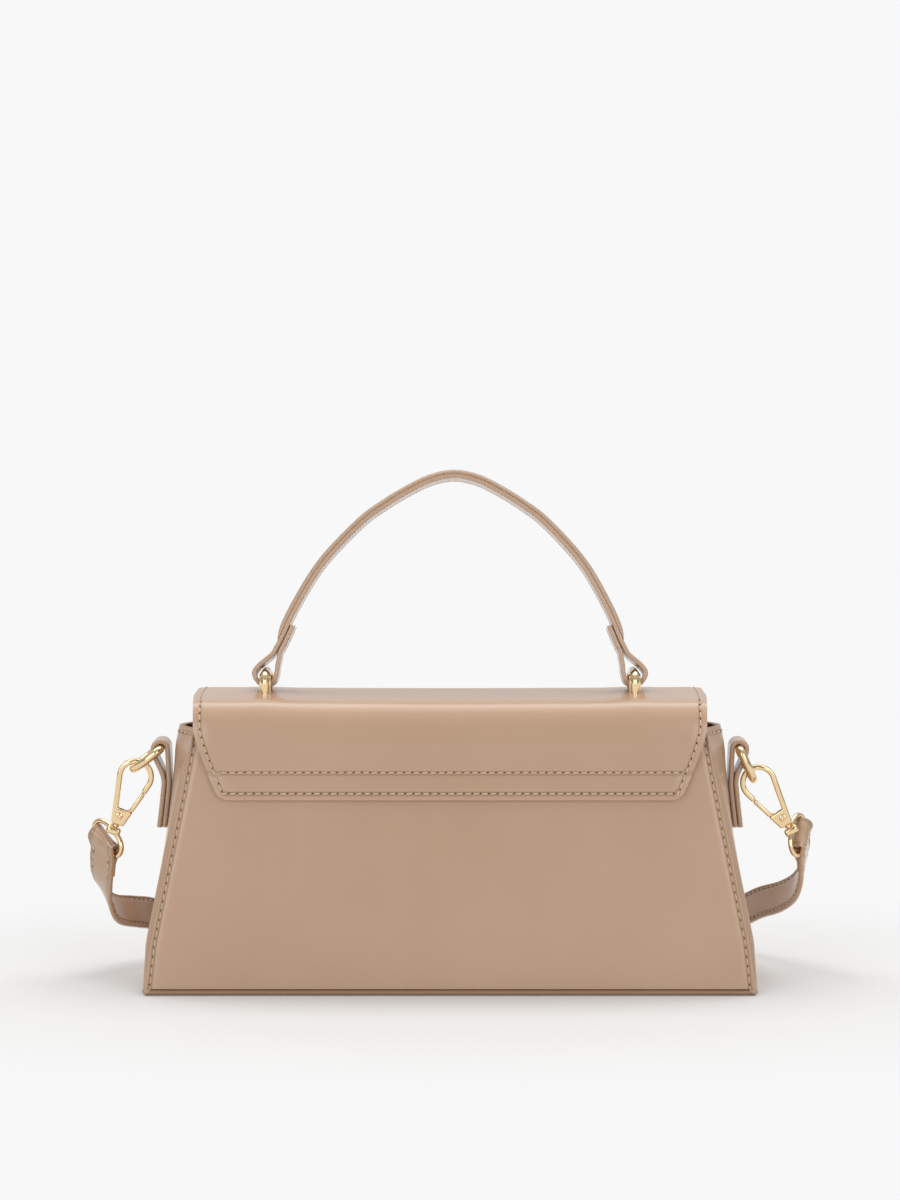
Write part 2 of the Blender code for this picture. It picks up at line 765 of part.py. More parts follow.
ring_bar_x = tab_layer_x(tab_loop_height, 0) + TAB_LOOP_STAND_OFF + tab_loop_radius
tab_close = tab_loop_height - TAB_CLOSE_DROP
tab_rows_at = [between(tab_foot_height, tab_close, share) for share in TAB_ROW_SHARES]
inner_run = [Vector((tab_layer_x(z, 0), 0, z)) for z in tab_rows_at]
outer_run = [Vector((tab_layer_x(z, 1), 0, z)) for z in tab_rows_at]
loop_run = []
for k in range(TAB_LOOP_STEPS + 1):
    angle = math.pi * (1 - k / TAB_LOOP_STEPS)
    loop_run.append(
        Vector(
            (
                ring_bar_x + tab_loop_radius * math.cos(angle),
                0,
                tab_loop_height + tab_loop_radius * math.sin(angle),
            )
        )
    )
OUTER_BEND_SHARE = 0.45
bend_low = Vector((tab_layer_x(tab_close, 1), 0, tab_close))
outer_bend = loop_run[-1].lerp(bend_low, OUTER_BEND_SHARE)
outer_bend.x = between(bend_low.x, loop_run[-1].x, 1 - OUTER_BEND_SHARE**2)
tab_line = [*inner_run, *loop_run, outer_bend, *reversed(outer_run)]
for name, side in (("tab_left", -1), ("tab_right", 1)):
    line = [Vector((side * p.x, 0, p.z)) for p in tab_line]
    tab = add_object(name, sheet_mesh(name, ribbon_rows(line, TAB_WIDTH, (0, 1, 0))), LEATHER)
    thicken(tab, TAB_THICKNESS)

# Side rings: round wire bent to a D, whose straight bar lies in the tab's loop.
RING_SIDE_CLEARANCE = 0.0009
RING_ARC_STEPS = 12
WIRE_SIDES = 8
RING_LIFTS = {-1: math.radians(41.1), 1: math.radians(13.1)}
gusset_lean = math.atan((BASE_WIDTH - RIM_WIDTH) / 2 / (RIM_HEIGHT - BASE_THICKNESS))
ring_drops = {side: math.pi / 2 - gusset_lean - lift for side, lift in RING_LIFTS.items()}


def tube_mesh(name, line, radius, sides, normal):
    """Round wire along a closed flat line, whose plane faces along the normal."""
    normal = Vector(normal)
    count = len(line)
    rings = []
    for i, point in enumerate(line):
        along = (line[(i + 1) % count] - line[i - 1]).normalized()
        out = along.cross(normal)
        rings.append(
            [
                point
                + out * radius * math.cos(2 * math.pi * k / sides)
                + normal * radius * math.sin(2 * math.pi * k / sides)
                for k in range(sides)
            ]
        )
    return loft_mesh(name, rings, closed=True)


def d_outline(half_bar, reach, corner, steps, power=1):
    """A D from its straight bar, on the line x = 0, round to its far end at x = reach. A
    power under one squares the bow."""
    points = [Vector((0, y, 0)) for y in (-half_bar + corner, 0, half_bar - corner)]
    for k in range(steps + 1):
        angle = math.pi / 2 * (1 - 2 * k / steps)
        flat = max(0, reach - half_bar)
        along = min(half_bar, reach)
        aside = math.copysign(abs(math.sin(angle)) ** power, math.sin(angle))
        outward = max(0, math.cos(angle)) ** power
        points.append(Vector((flat + along * outward, half_bar * aside, 0)))
    return points


ring_half = TAB_WIDTH / 2 + RING_SIDE_CLEARANCE + RING_WIRE_RADIUS
RING_CORNER_RADIUS = 0.0012
ring_bars = {}
ring_ends = {}
for name, side in (("ring_left", -1), ("ring_right", 1)):
    bar = Vector((side * ring_bar_x, 0, tab_loop_height))
    line = d_outline(ring_half, RING_REACH, RING_CORNER_RADIUS, RING_ARC_STEPS)
    line = [Vector((side * p.x, p.y, 0)) for p in line]
    add_object(
        name,
        tube_mesh(name, line, RING_WIRE_RADIUS, WIRE_SIDES, (0, 0, 1)),
        GOLD,
        at=bar,
        turn=(0, side * ring_drops[side], 0),
    )
    drop = ring_drops[side]
    ring_bars[side] = bar
    ring_ends[side] = bar + RING_REACH * Vector((side * math.cos(drop), 0, -math.sin(drop)))

# Snap hooks: a flat pear-shaped frame with a bow over the ring, a block at its foot, and a
# gate that closes the side facing the bag. Each frame is drawn in its own plane, with its
# rivet at the origin, the bow along +z and the gate on the +x side of the left hook.
HOOK_BOW_RADIUS = 0.00835
HOOK_BOW_OFFSET = 0.00045
HOOK_BAR = 0.0025
HOOK_FLARE = math.radians(13.8)
HOOK_NOTCH_SHARE = 0.50
BLOCK_TOP = 0.0033
BLOCK_FOOT = 0.0039
BLOCK_FLOOR = 0.0022
HOOK_EDGE_SOFTNESS = 0.0004
SLOT_WIDTH = 0.0022
SLOT_BACK = 0.0021
SLOT_OVERRUN = 0.0002
RIVET_RADIUS = 0.0008
RIVET_HEAD_RADIUS = 0.0016
RIVET_HEAD_HEIGHT = 0.0004
HARDWARE_GAP = 0.0001
RIVET_SIDES = 12
GATE_BAR = 0.0020
GATE_DEPTH = 0.0032
GATE_EYE_RADIUS = 0.0018
GATE_EYE_START = math.radians(112)
GATE_EYE_END = math.radians(324)
GATE_WEB = 0.0008
GATE_CLEARANCE = 0.0003
BOW_STEPS = 12
HOOK_SWINGS = {-1: math.radians(10.1), 1: math.radians(22.1)}
HOOK_SEAT_LEFT = 0.0030
HOOK_SEAT_RIGHT = 0.0026
HOOK_SEATS = {-1: HOOK_SEAT_LEFT, 1: HOOK_SEAT_RIGHT}
HOOK_SEAT_SIDE_SHARES = {-1: -0.26, 1: 0.15}
bow_centre = Vector((HOOK_BOW_OFFSET, 0, HOOK_LENGTH - HOOK_BOW_RADIUS))
flare_normal = Vector((math.cos(HOOK_FLARE), 0, -math.sin(HOOK_FLARE)))


def hook_side(height, inset, side):
    """A point on the frame's straight side, at a height above the rivet."""
    touch = bow_centre.z - HOOK_BOW_RADIUS * math.sin(HOOK_FLARE)
    reach = (HOOK_BOW_RADIUS - inset) / math.cos(HOOK_FLARE)
    reach -= (bow_centre.z - height) * math.tan(HOOK_FLARE)
    return Vector((bow_centre.x + side * reach, 0, height))


def bow_arc(radius, start, end, steps):
    points = []
    for k in range(steps + 1):
        angle = between(start, end, k / steps)
        points.append(
            bow_centre + radius * Vector((math.cos(angle), 0, math.sin(angle)))
        )
    return points


def side_height(distance, inset):
    """The height at which the straight side on the gate's side lies that far from the rivet."""
    lean = math.tan(HOOK_FLARE)
    foot = hook_side(0, inset, 1).x
    spread = 1 + lean**2
    return (math.sqrt(foot**2 * lean**2 - spread * (foot**2 - distance**2)) - foot * lean) / spread


# The nose and the gate's end are cut square to the gate's swing, so that one clears the other.
notch_reach = hook_side(HOOK_LENGTH * HOOK_NOTCH_SHARE, HOOK_BAR / 2, 1).length
gate_reach = notch_reach - GATE_CLEARANCE
arc_right = -HOOK_FLARE
arc_left = math.pi + HOOK_FLARE
frame_outline = [
    hook_side(-BLOCK_FOOT, 0, -1),
    *reversed(bow_arc(HOOK_BOW_RADIUS, arc_right, arc_left, BOW_STEPS)),
    hook_side(side_height(notch_reach, 0), 0, 1),
    hook_side(side_height(notch_reach, HOOK_BAR), HOOK_BAR, 1),
    *bow_arc(HOOK_BOW_RADIUS - HOOK_BAR, arc_right, arc_left, BOW_STEPS),
    hook_side(BLOCK_TOP, HOOK_BAR, -1),
    hook_side(BLOCK_TOP, 0, 1),
    hook_side(-BLOCK_FOOT, 0, 1),
]
web_mid = -(SLOT_WIDTH / 2 - GATE_WEB / 2 - HARDWARE_GAP)
gate_low = BLOCK_TOP + GATE_CLEARANCE
gate_outline = [
    hook_side(gate_low, 0, 1),
    hook_side(side_height(gate_reach, 0), 0, 1),
    hook_side(side_height(gate_reach, GATE_BAR), GATE_BAR, 1),
    hook_side(gate_low, GATE_BAR, 1),
]
GATE_ROOT_OVERLAP = 0.0012
web_high = gate_low + GATE_ROOT_OVERLAP
web_outline = [
    hook_side(web_high, GATE_BAR / 2, 1),
    hook_side(web_high, GATE_BAR, 1),
    *[
        GATE_EYE_RADIUS * Vector((math.cos(angle), 0, math.sin(angle)))
        for angle in [between(GATE_EYE_START, GATE_EYE_END, k / BOW_STEPS) for k in range(BOW_STEPS + 1)]
    ],
    hook_side(BLOCK_TOP, GATE_BAR / 2, 1),
]
SPRING_WIRE_RADIUS = 0.00015
SPRING_COIL_RADIUS = 0.00135
SPRING_PITCH = 0.00036
SPRING_TURNS = 2
SPRING_POINTS_PER_TURN = 10


def mirrored(points, side):
    return [Vector((-side * p.x, p.y, p.z)) for p in points]


def spring_curve(name, start_y):
    curve = bpy.data.curves.new(name, "CURVE")
    curve.dimensions = "3D"
    curve.bevel_depth = SPRING_WIRE_RADIUS
    curve.bevel_resolution = 1
    curve.use_fill_caps = True
    spline = curve.splines.new("POLY")
    count = SPRING_TURNS * SPRING_POINTS_PER_TURN
    spline.points.add(count)
    for k in range(count + 1):
        turn = k / SPRING_POINTS_PER_TURN
        angle = 2 * math.pi * turn
        spline.points[k].co = (
            SPRING_COIL_RADIUS * math.cos(angle),
            start_y + SPRING_PITCH * turn,
            SPRING_COIL_RADIUS * math.sin(angle),
            1,
        )
    return curve


def rivet_rings(shank_half, head_gap):
    profile = (
        (RIVET_HEAD_RADIUS, -shank_half - head_gap - RIVET_HEAD_HEIGHT),
        (RIVET_HEAD_RADIUS, -shank_half - head_gap),
        (RIVET_RADIUS, -shank_half - head_gap),
        (RIVET_RADIUS, shank_half + head_gap),
        (RIVET_HEAD_RADIUS, shank_half + head_gap),
        (RIVET_HEAD_RADIUS, shank_half + head_gap + RIVET_HEAD_HEIGHT),
    )
    rings = []
    for radius, y in profile:
        rings.append(
            [
                (
                    radius * math.cos(2 * math.pi * k / RIVET_SIDES),
                    y,
                    radius * math.sin(2 * math.pi * k / RIVET_SIDES),
                )
                for k in range(RIVET_SIDES)
            ]
        )
    return rings


rivets = {}
hook_axes = {}
for name, side in (("left", -1), ("right", 1)):
    turn = -side * (gusset_lean + HOOK_SWINGS[side])
    upright = Matrix.Rotation(turn, 3, "Y")
    seat = Vector((-side * HOOK_SEAT_SIDE_SHARES[side] * HOOK_BOW_RADIUS, 0, HOOK_SEATS[side]))
    seat_in_frame = mirrored([bow_centre], side)[0] + seat
    rivet_at = ring_ends[side] - upright @ seat_in_frame
    rivets[side] = rivet_at
    hook_axes[side] = upright @ Vector((0, 0, 1))
    place = {"at": rivet_at, "turn": (0, turn, 0)}

    frame = add_object(
        "hook_frame_" + name,
        plate_mesh("hook_frame", mirrored(frame_outline, side), HOOK_DEPTH, (0, 1, 0)),
        GOLD,
        **place,
    )
    soften(frame, HOOK_EDGE_SOFTNESS)
    slot_outline = [
        Vector((-SLOT_BACK, 0, -BLOCK_FLOOR)),
        Vector((HOOK_BOW_RADIUS, 0, -BLOCK_FLOOR)),
        Vector((HOOK_BOW_RADIUS, 0, BLOCK_TOP + SLOT_OVERRUN)),
        Vector((-SLOT_BACK, 0, BLOCK_TOP + SLOT_OVERRUN)),
    ]
    slot = add_object(
        "hook_slot_" + name,
        plate_mesh("hook_slot", mirrored(slot_outline, side), SLOT_WIDTH, (0, 1, 0)),
        STEEL,
        **place,
    )
    combine(frame, slot, "DIFFERENCE")
    rivet_hole = add_object(
        "rivet_hole_" + name,
        cylinder_mesh(
            "rivet_hole", RIVET_RADIUS + HARDWARE_GAP, HOOK_DEPTH * 2, RIVET_SIDES, along_y
        ),
        STEEL,
        **place,
    )
    combine(frame, rivet_hole, "DIFFERENCE")

    rivet = add_object(
        "hook_rivet_" + name,
        loft_mesh("hook_rivet", rivet_rings(HOOK_DEPTH / 2, HARDWARE_GAP)),
        GOLD,
        **place,
    )

    gate = add_object(
        "hook_gate_" + name,
        plate_mesh("hook_gate", mirrored(gate_outline, side), GATE_DEPTH, (0, 1, 0)),
        GOLD,
        **place,
    )
    soften(gate, HOOK_EDGE_SOFTNESS)
    web_points = [p + Vector((0, web_mid, 0)) for p in mirrored(web_outline, side)]
    web = add_object(
        "gate_web_" + name,
        plate_mesh("gate_web", web_points, GATE_WEB, (0, 1, 0)),
        GOLD,
        **place,
    )
    combine(gate, web, "UNION")
    combine(gate, rivet_hole, "DIFFERENCE")

    spring_start = web_mid + GATE_WEB / 2 + HARDWARE_GAP + SPRING_WIRE_RADIUS
    add_object("gate_spring_" + name, spring_curve("gate_spring", spring_start), STEEL, **place)

# Swivel rings: a D of round wire for the strap, with a saddle at its crown and a pin that
# turns in the foot of the hook's block.
SWIVEL_WIRE_RADIUS = 0.0012
SWIVEL_HEIGHT = 0.0078
SWIVEL_CORNER_RADIUS = 0.0012
SWIVEL_ARC_POWER = 0.75
SADDLE_GAP = 0.0013
SADDLE_LENGTH = 0.0040
SADDLE_WIDTH = 0.0070
SADDLE_DEPTH = 0.0042
SADDLE_EDGE_SOFTNESS = 0.0006
SADDLE_OUTLINE_SHARES = ((-1, 0), (1, 0), (1, 0.6), (0.6, 1), (-0.6, 1), (-1, 0.6))
PIN_RADIUS = 0.0010
PIN_LENGTH = 0.0024
SWIVEL_BAR_LIES = {-1: (0.60, -0.45, -0.66), 1: (-0.17, -0.50, -0.85)}
SWIVEL_CROWN_LIES = {-1: (0.59, 0.81), 1: (-0.79, 0.61)}
strap_half = STRAP_WIDTH / 2 + RING_SIDE_CLEARANCE + SWIVEL_WIRE_RADIUS
swivel_bars = {}
for name, side in (("left", -1), ("right", 1)):
    turn = -side * (gusset_lean + HOOK_SWINGS[side])
    place = {"at": rivets[side], "turn": (0, turn, 0)}
    across = Vector(SWIVEL_BAR_LIES[side]).normalized()
    crown_x, crown_z = SWIVEL_CROWN_LIES[side]
    crown_y = -(across.x * crown_x + across.z * crown_z) / across.y
    toward = Vector((crown_x, crown_y, crown_z)).normalized()
    axis = hook_axes[side]
    crown = rivets[side] - axis * (BLOCK_FOOT + SADDLE_GAP + SADDLE_LENGTH / 2)
    bar = crown - toward * SWIVEL_HEIGHT
    swivel_bars[side] = (bar, across, toward)
    flat = across.cross(toward)
    outline = d_outline(
        strap_half, SWIVEL_HEIGHT, SWIVEL_CORNER_RADIUS, RING_ARC_STEPS, SWIVEL_ARC_POWER
    )
    into_hook = Matrix.Rotation(turn, 3, "Y").inverted()
    line = [into_hook @ (bar + toward * p.x + across * p.y - rivets[side]) for p in outline]
    swivel = add_object(
        "swivel_ring_" + name,
        tube_mesh("swivel_ring", line, SWIVEL_WIRE_RADIUS, WIRE_SIDES, into_hook @ flat),
        GOLD,
        **place,
    )
    saddle_top = -BLOCK_FOOT - SADDLE_GAP
    saddle_outline = [
        Vector((x * SADDLE_WIDTH / 2, 0, saddle_top - down * SADDLE_LENGTH))
        for x, down in SADDLE_OUTLINE_SHARES
    ]
    saddle = add_object(
        "saddle_" + name,
        plate_mesh("saddle", mirrored(saddle_outline, side), SADDLE_DEPTH, (0, 1, 0)),
        GOLD,
        **place,
    )
    soften(saddle, SADDLE_EDGE_SOFTNESS)
    combine(swivel, saddle, "UNION")
    pin_reach = SADDLE_GAP + PIN_LENGTH
    pin_shift = Matrix.Translation((0, 0, saddle_top + (pin_reach - SADDLE_GAP) / 2))
    pin = add_object(
        "swivel_pin_" + name,
        cylinder_mesh("swivel_pin", PIN_RADIUS, pin_reach, WIRE_SIDES, pin_shift),
        GOLD,
        **place,
    )
    combine(swivel, pin, "UNION")
    pin_hole = add_object(
        "pin_hole_" + name,
        cylinder_mesh(
            "pin_hole", PIN_RADIUS + SEAM_GAP, BLOCK_FOOT * 2, WIRE_SIDES,
            Matrix.Translation((0, 0, -BLOCK_FOOT - BLOCK_FLOOR)),
        ),
        STEEL,
        **place,
    )
    combine(bpy.data.objects["hook_frame_" + name], pin_hole, "DIFFERENCE")

# Magnetic snap: a flat pair of discs under the front of the flap, with a washer behind the
# front panel.
SNAP_RADIUS = 0.0090
SNAP_THICKNESS = 0.0009
SNAP_WASHER_RADIUS = 0.0075
SNAP_WASHER_THICKNESS = 0.0008
SNAP_EDGE_DISTANCE = 0.0160
SNAP_SIDES = 20
SNAP_EDGE_SOFTNESS = 0.0002
snap_height = flap_front_height + SNAP_EDGE_DISTANCE
outward = Vector((0, math.cos(panel_lean), math.sin(panel_lean)))
snap_at = Vector((0, half_depth(snap_height), snap_height))
flap_lean_gap = FLAP_FRONT_STAND_OFF * math.cos(panel_lean)
socket_out = SEAM_GAP + SNAP_THICKNESS / 2
stud_out = flap_lean_gap - SEAM_GAP - SNAP_THICKNESS / 2
washer_out = -PANEL_THICKNESS - SEAM_GAP - SNAP_WASHER_THICKNESS / 2
for name, radius, thickness, out in (
    ("snap_socket", SNAP_RADIUS, SNAP_THICKNESS, socket_out),
    ("snap_stud", SNAP_RADIUS, SNAP_THICKNESS, stud_out),
    ("snap_washer", SNAP_WASHER_RADIUS, SNAP_WASHER_THICKNESS, washer_out),
):
    disc = add_object(
        name,
        cylinder_mesh(name, radius, thickness, SNAP_SIDES, along_y),
        STEEL if name == "snap_washer" else GOLD,
        at=snap_at + outward * out,
        turn=(panel_lean, 0, 0),
    )
    soften(disc, SNAP_EDGE_SOFTNESS)

# Shoulder strap: flat leather whose ends roll round the swivel rings. Each end drops to the
# floor and turns behind the bag, and the rest stands on its edge there in three runs.
ROLL_CLEARANCE = 0.0003
ROLL_STEPS = 8
STRAP_TAIL_LENGTH = 0.0150
STRAP_TAIL_CLOSE = 0.0080
STRAP_TAIL_GAP = 0.0005
FLOOR_GAP = 0.0003
RUN_BACK = 0.0500
RUN_SPACING = 0.0160
RUN_HALF = 0.1020
RUN_STEPS = 6
FOLD_STEPS = 8
STRAP_END_STEPS = 3
strap_mid_height = FLOOR_GAP + STRAP_WIDTH / 2
roll_radius = SWIVEL_WIRE_RADIUS + ROLL_CLEARANCE + STRAP_THICKNESS / 2
# The middle of each end's width from the roll to the floor, and the way its width points.
STRAP_END_ROUTES = {
    -1: (
        ((-0.1598, 0.0018, 0.0572), (0.58, -0.47, -0.66)),
        ((-0.1606, 0.0032, 0.0505), (0.48, -0.55, -0.68)),
        ((-0.1594, 0.0055, 0.0435), (0.36, -0.60, -0.70)),
        ((-0.1563, 0.0095, 0.0355), (0.22, -0.63, -0.74)),
        ((-0.1510, 0.0180, 0.0285), (0.10, -0.60, -0.79)),
        ((-0.1440, 0.0310, 0.0240), (0.05, -0.46, -0.88)),
        ((-0.1365, 0.0450, 0.0175), (0.00, -0.24, -0.97)),
        ((-0.1220, 0.0505, 0.0105), (0.00, -0.06, -1.00)),
    ),
    1: (
        ((0.1622, 0.0060, 0.0590), (-0.18, -0.52, -0.83)),
        ((0.1626, 0.0095, 0.0520), (-0.16, -0.56, -0.81)),
        ((0.1610, 0.0140, 0.0445), (-0.12, -0.58, -0.80)),
        ((0.1575, 0.0210, 0.0365), (-0.08, -0.55, -0.83)),
        ((0.1515, 0.0320, 0.0300), (-0.04, -0.45, -0.89)),
        ((0.1435, 0.0460, 0.0245), (0.00, -0.30, -0.95)),
        ((0.1330, 0.0620, 0.0165), (0.00, -0.16, -0.99)),
        ((0.1180, 0.0780, 0.0100), (0.00, -0.05, -1.00)),
    ),
}


def ribbon_mesh(name, stations, width):
    """A flat strip through stations, each a point and the way the width points there."""
    rows = []
    for point, across in stations:
        half = Vector(across).normalized() * width / 2
        rows.append([Vector(point) - half, Vector(point) + half])
    return sheet_mesh(name, rows)


def smooth_stations(stations, steps):
    points = smooth_line([point for point, across in stations], steps)
    widths = smooth_line([across for point, across in stations], steps)
    return list(zip(points, widths))


def tail_stations(stations, start, outward):
    """The sewn end of the strap, lying against the inner side of the stretch that it joins."""
    tail = []
    travelled = 0
    for (a, wide), (b, _) in zip(stations, stations[1:]):
        along = (b - a).normalized()
        out = along.cross(wide).normalized()
        out = out if out.dot(outward) > 0 else -out
        close = min(1, travelled / STRAP_TAIL_CLOSE)
        apart = between(2 * roll_radius, STRAP_THICKNESS + STRAP_TAIL_GAP, close)
        if travelled > start:
            tail.append((a - out * apart, wide))
        travelled += (b - a).length
        if travelled > STRAP_TAIL_LENGTH:
            break
    return tail


for name, side in (("left", -1), ("right", 1)):
    bar, across, toward = swivel_bars[side]
    outward = across.cross(toward)
    outward = outward if outward.x * side > 0 else -outward
    roll = []
    for k in range(ROLL_STEPS + 1):
        angle = math.pi * k / ROLL_STEPS
        around = toward * math.sin(angle) - outward * math.cos(angle)
        roll.append((bar + around * roll_radius, across))
    floor_y = RUN_BACK if side < 0 else RUN_BACK + 2 * RUN_SPACING
    landing = (Vector((side * RUN_HALF, floor_y, strap_mid_height)), (0, 0, -1))
    route = smooth_stations([roll[-1], *STRAP_END_ROUTES[side], landing], STRAP_END_STEPS)
    tail = tail_stations(route, roll_radius, outward)
    stations = [*reversed(tail), *roll[:-1], *route]
    end = add_object("strap_end_" + name, ribbon_mesh("strap_end", stations, STRAP_WIDTH), LEATHER)
    thicken(end, STRAP_THICKNESS)

run_line = []
for run, travel in ((0, 1), (1, -1), (2, 1)):
    y = RUN_BACK + run * RUN_SPACING
    start = -RUN_HALF + (SEAM_GAP if run == 0 else 0)
    stop = RUN_HALF - (SEAM_GAP if run == 2 else 0)
    for k in range(RUN_STEPS + 1):
        x = between(start, stop, k / RUN_STEPS) if travel > 0 else between(stop, start, k / RUN_STEPS)
        run_line.append(Vector((x, y, strap_mid_height)))
    if run == 2:
        continue
    for k in range(1, FOLD_STEPS):
        angle = math.pi * k / FOLD_STEPS
        fold_radius = RUN_SPACING / 2
        run_line.append(
            Vector(
                (
                    travel * (RUN_HALF + fold_radius * math.sin(angle)),
                    y + fold_radius * (1 - math.cos(angle)),
                    strap_mid_height,
                )
            )
        )
strap_middle = add_object(
    "strap_middle",
    ribbon_mesh("strap_middle", [(p, (0, 0, -1)) for p in run_line], STRAP_WIDTH),
    LEATHER,
)
thicken(strap_middle, STRAP_THICKNESS)
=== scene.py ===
import math

import bmesh
import bpy
import numpy as np
from mathutils import Matrix, Vector


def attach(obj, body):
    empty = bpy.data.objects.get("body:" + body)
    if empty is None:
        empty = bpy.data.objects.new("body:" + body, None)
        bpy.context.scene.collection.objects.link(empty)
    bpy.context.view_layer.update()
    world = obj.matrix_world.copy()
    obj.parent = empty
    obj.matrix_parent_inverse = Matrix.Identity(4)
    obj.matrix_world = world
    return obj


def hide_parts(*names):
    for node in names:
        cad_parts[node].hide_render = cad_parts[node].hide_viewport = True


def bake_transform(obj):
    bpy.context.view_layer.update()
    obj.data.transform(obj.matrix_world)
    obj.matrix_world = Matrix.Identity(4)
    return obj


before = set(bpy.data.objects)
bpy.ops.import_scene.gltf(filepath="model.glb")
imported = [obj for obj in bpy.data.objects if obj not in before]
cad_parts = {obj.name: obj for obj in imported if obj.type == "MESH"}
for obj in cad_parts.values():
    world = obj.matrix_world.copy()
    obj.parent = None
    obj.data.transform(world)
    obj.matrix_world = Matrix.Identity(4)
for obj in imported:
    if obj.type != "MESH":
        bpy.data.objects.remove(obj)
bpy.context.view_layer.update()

# Camera at the photograph's angle: a long lens a metre and a half away, a little above the bag
# and tipped down, facing the bag's back.
bpy.ops.object.camera_add(location=(0, -1.541, 0.293), rotation=(math.radians(85.5), 0, 0))
camera = bpy.context.object
camera.data.sensor_width = 36
camera.data.lens = 103.4
bpy.context.scene.camera = camera

# Shoulder strap: one flat strip of two leathers glued back to back, edges painted, stitched
# along both sides. Each end is turned round a swivel ring and sewn back on itself. The length
# that the photograph doesn't show stands on its edge behind the bag in three runs.
def hex_colour(text):
    """An sRGB hex colour as linear red, green, blue and alpha."""
    parts = [int(text[i : i + 2], 16) / 255 for i in (1, 3, 5)]
    return (*[p / 12.92 if p <= 0.04045 else ((p + 0.055) / 1.055) ** 2.4 for p in parts], 1)


def node(tree, kind, settings=None, links=None):
    """Adds a shader node, with its settings and what feeds its inputs."""
    made = tree.nodes.new(kind)
    for name, value in (settings or {}).items():
        if isinstance(name, int) or name in made.inputs:
            made.inputs[name].default_value = value
        else:
            setattr(made, name, value)
    for name, source in (links or {}).items():
        tree.links.new(source, made.inputs[name])
    return made


def shaded(name):
    """A new material, with its tree and its Principled shader."""
    skin = bpy.data.materials.new(name)
    skin.use_nodes = True
    return skin, skin.node_tree, skin.node_tree.nodes["Principled BSDF"]


def two_tones(tree, share, deep, pale):
    """Two hex colours mixed in the share that another node gives."""
    ends = {"data_type": "RGBA", 6: hex_colour(deep), 7: hex_colour(pale)}
    return node(tree, "ShaderNodeMix", ends, {0: share}).outputs[2]


def flecked(name, deep, pale, scale, detail, roughness, metallic=0):
    """A plain material whose colour wanders between two tones, in flecks of one size."""
    skin, tree, shader = shaded(name)
    where = node(tree, "ShaderNodeTexCoord").outputs["Object"]
    flecks = node(
        tree, "ShaderNodeTexNoise", {"Scale": scale, "Detail": detail}, {"Vector": where}
    )
    tone = two_tones(tree, flecks.outputs["Fac"], deep, pale)
    tree.links.new(tone, shader.inputs["Base Color"])
    shader.inputs["Roughness"].default_value = roughness
    shader.inputs["Metallic"].default_value = metallic
    return skin


def leather(name, deep, pale, roughness, grain=0.25, seam=True, coat=0.25):
    """Smooth coated cowhide. Its colour drifts a little from place to place, its grain is fine
    pores about a millimetre apart, drawn that coarse so that they show, and it dips where the
    thread pulls it down, its colour darkened there as painted shade for the groove. The attribute
    from_seam holds millimetres from the stitch line."""
    skin, tree, shader = shaded(name)
    where = node(tree, "ShaderNodeTexCoord").outputs["Object"]
    blotches = {"Scale": 14, "Detail": 3, "Roughness": 0.55}
    drift = node(tree, "ShaderNodeTexNoise", blotches, {"Vector": where})
    colour = two_tones(tree, drift.outputs["Fac"], deep, pale)
    pores = node(
        tree, "ShaderNodeTexVoronoi", {"Scale": 900, "Randomness": 1.0}, {"Vector": where}
    )
    waves = node(tree, "ShaderNodeTexNoise", {"Scale": 32, "Detail": 2}, {"Vector": where})
    grain_bump = node(
        tree, "ShaderNodeBump", {"Strength": grain, "Distance": 0.00006},
        {"Height": pores.outputs["Distance"]},
    )
    wave_bump = node(
        tree, "ShaderNodeBump", {"Strength": 0.20, "Distance": 0.0012},
        {"Height": waves.outputs["Fac"], "Normal": grain_bump.outputs["Normal"]},
    )
    normal = wave_bump.outputs["Normal"]
    if seam:
        away = node(tree, "ShaderNodeAttribute", {"attribute_name": "from_seam"})
        size = node(
            tree, "ShaderNodeMath", {"operation": "ABSOLUTE"}, {0: away.outputs["Fac"]}
        )
        groove = node(
            tree, "ShaderNodeMapRange",
            {"interpolation_type": "SMOOTHSTEP", "From Min": 0.15, "From Max": 1.3},
            {"Value": size.outputs[0]},
        )
        dip = node(
            tree, "ShaderNodeBump", {"Strength": 0.9, "Distance": 0.0005},
            {"Height": groove.outputs[0], "Normal": normal},
        )
        # The colour turns darker brown towards the stitch line: painted shade for the groove that the
        # thread draws.
        painted_seam_shade = node(
            tree, "ShaderNodeMix", {"data_type": "RGBA", 6: hex_colour("#A88769")},
            {0: groove.outputs[0], 7: colour},
        )
        colour, normal = painted_seam_shade.outputs[2], dip.outputs["Normal"]
    tree.links.new(colour, shader.inputs["Base Color"])
    tree.links.new(normal, shader.inputs["Normal"])
    shader.inputs["Roughness"].default_value = roughness
    shader.inputs["Coat Weight"].default_value = coat
    shader.inputs["Coat Roughness"].default_value = 0.22
    return skin


STRAP_LEATHER = leather("smooth strap leather", "#B08E71", "#BE9D80", 0.36, coat=0.9)
# Bonded polyester thread is matte with a faint twist, a little paler than the leather. A needle
# hole is a small dark brown lens with no gloss: painted shade for the hollow in the leather.
THREAD = flecked("bonded polyester thread", "#C9AE90", "#E2CDB2", 2200, 1, 0.6)
HOLE_SHADE = flecked("needle hole", "#3E2A1C", "#5B4130", 300, 2, 0.9)


def smooth_line(points, steps):
    """Points on a smooth curve through the given ones, steps to each stretch."""
    points = [Vector(p) for p in points]
    ends = [2 * points[0] - points[1], *points, 2 * points[-1] - points[-2]]
    line = []
    for a, b, c, d in zip(ends, ends[1:], ends[2:], ends[3:]):
        for k in range(steps):
            t = k / steps
            line.append(
                0.5 * (2 * b + (c - a) * t + (2 * a - 5 * b + 4 * c - d) * t**2)
                + 0.5 * (3 * b - a - 3 * c + d) * t**3
            )
    return [*line, points[-1]]


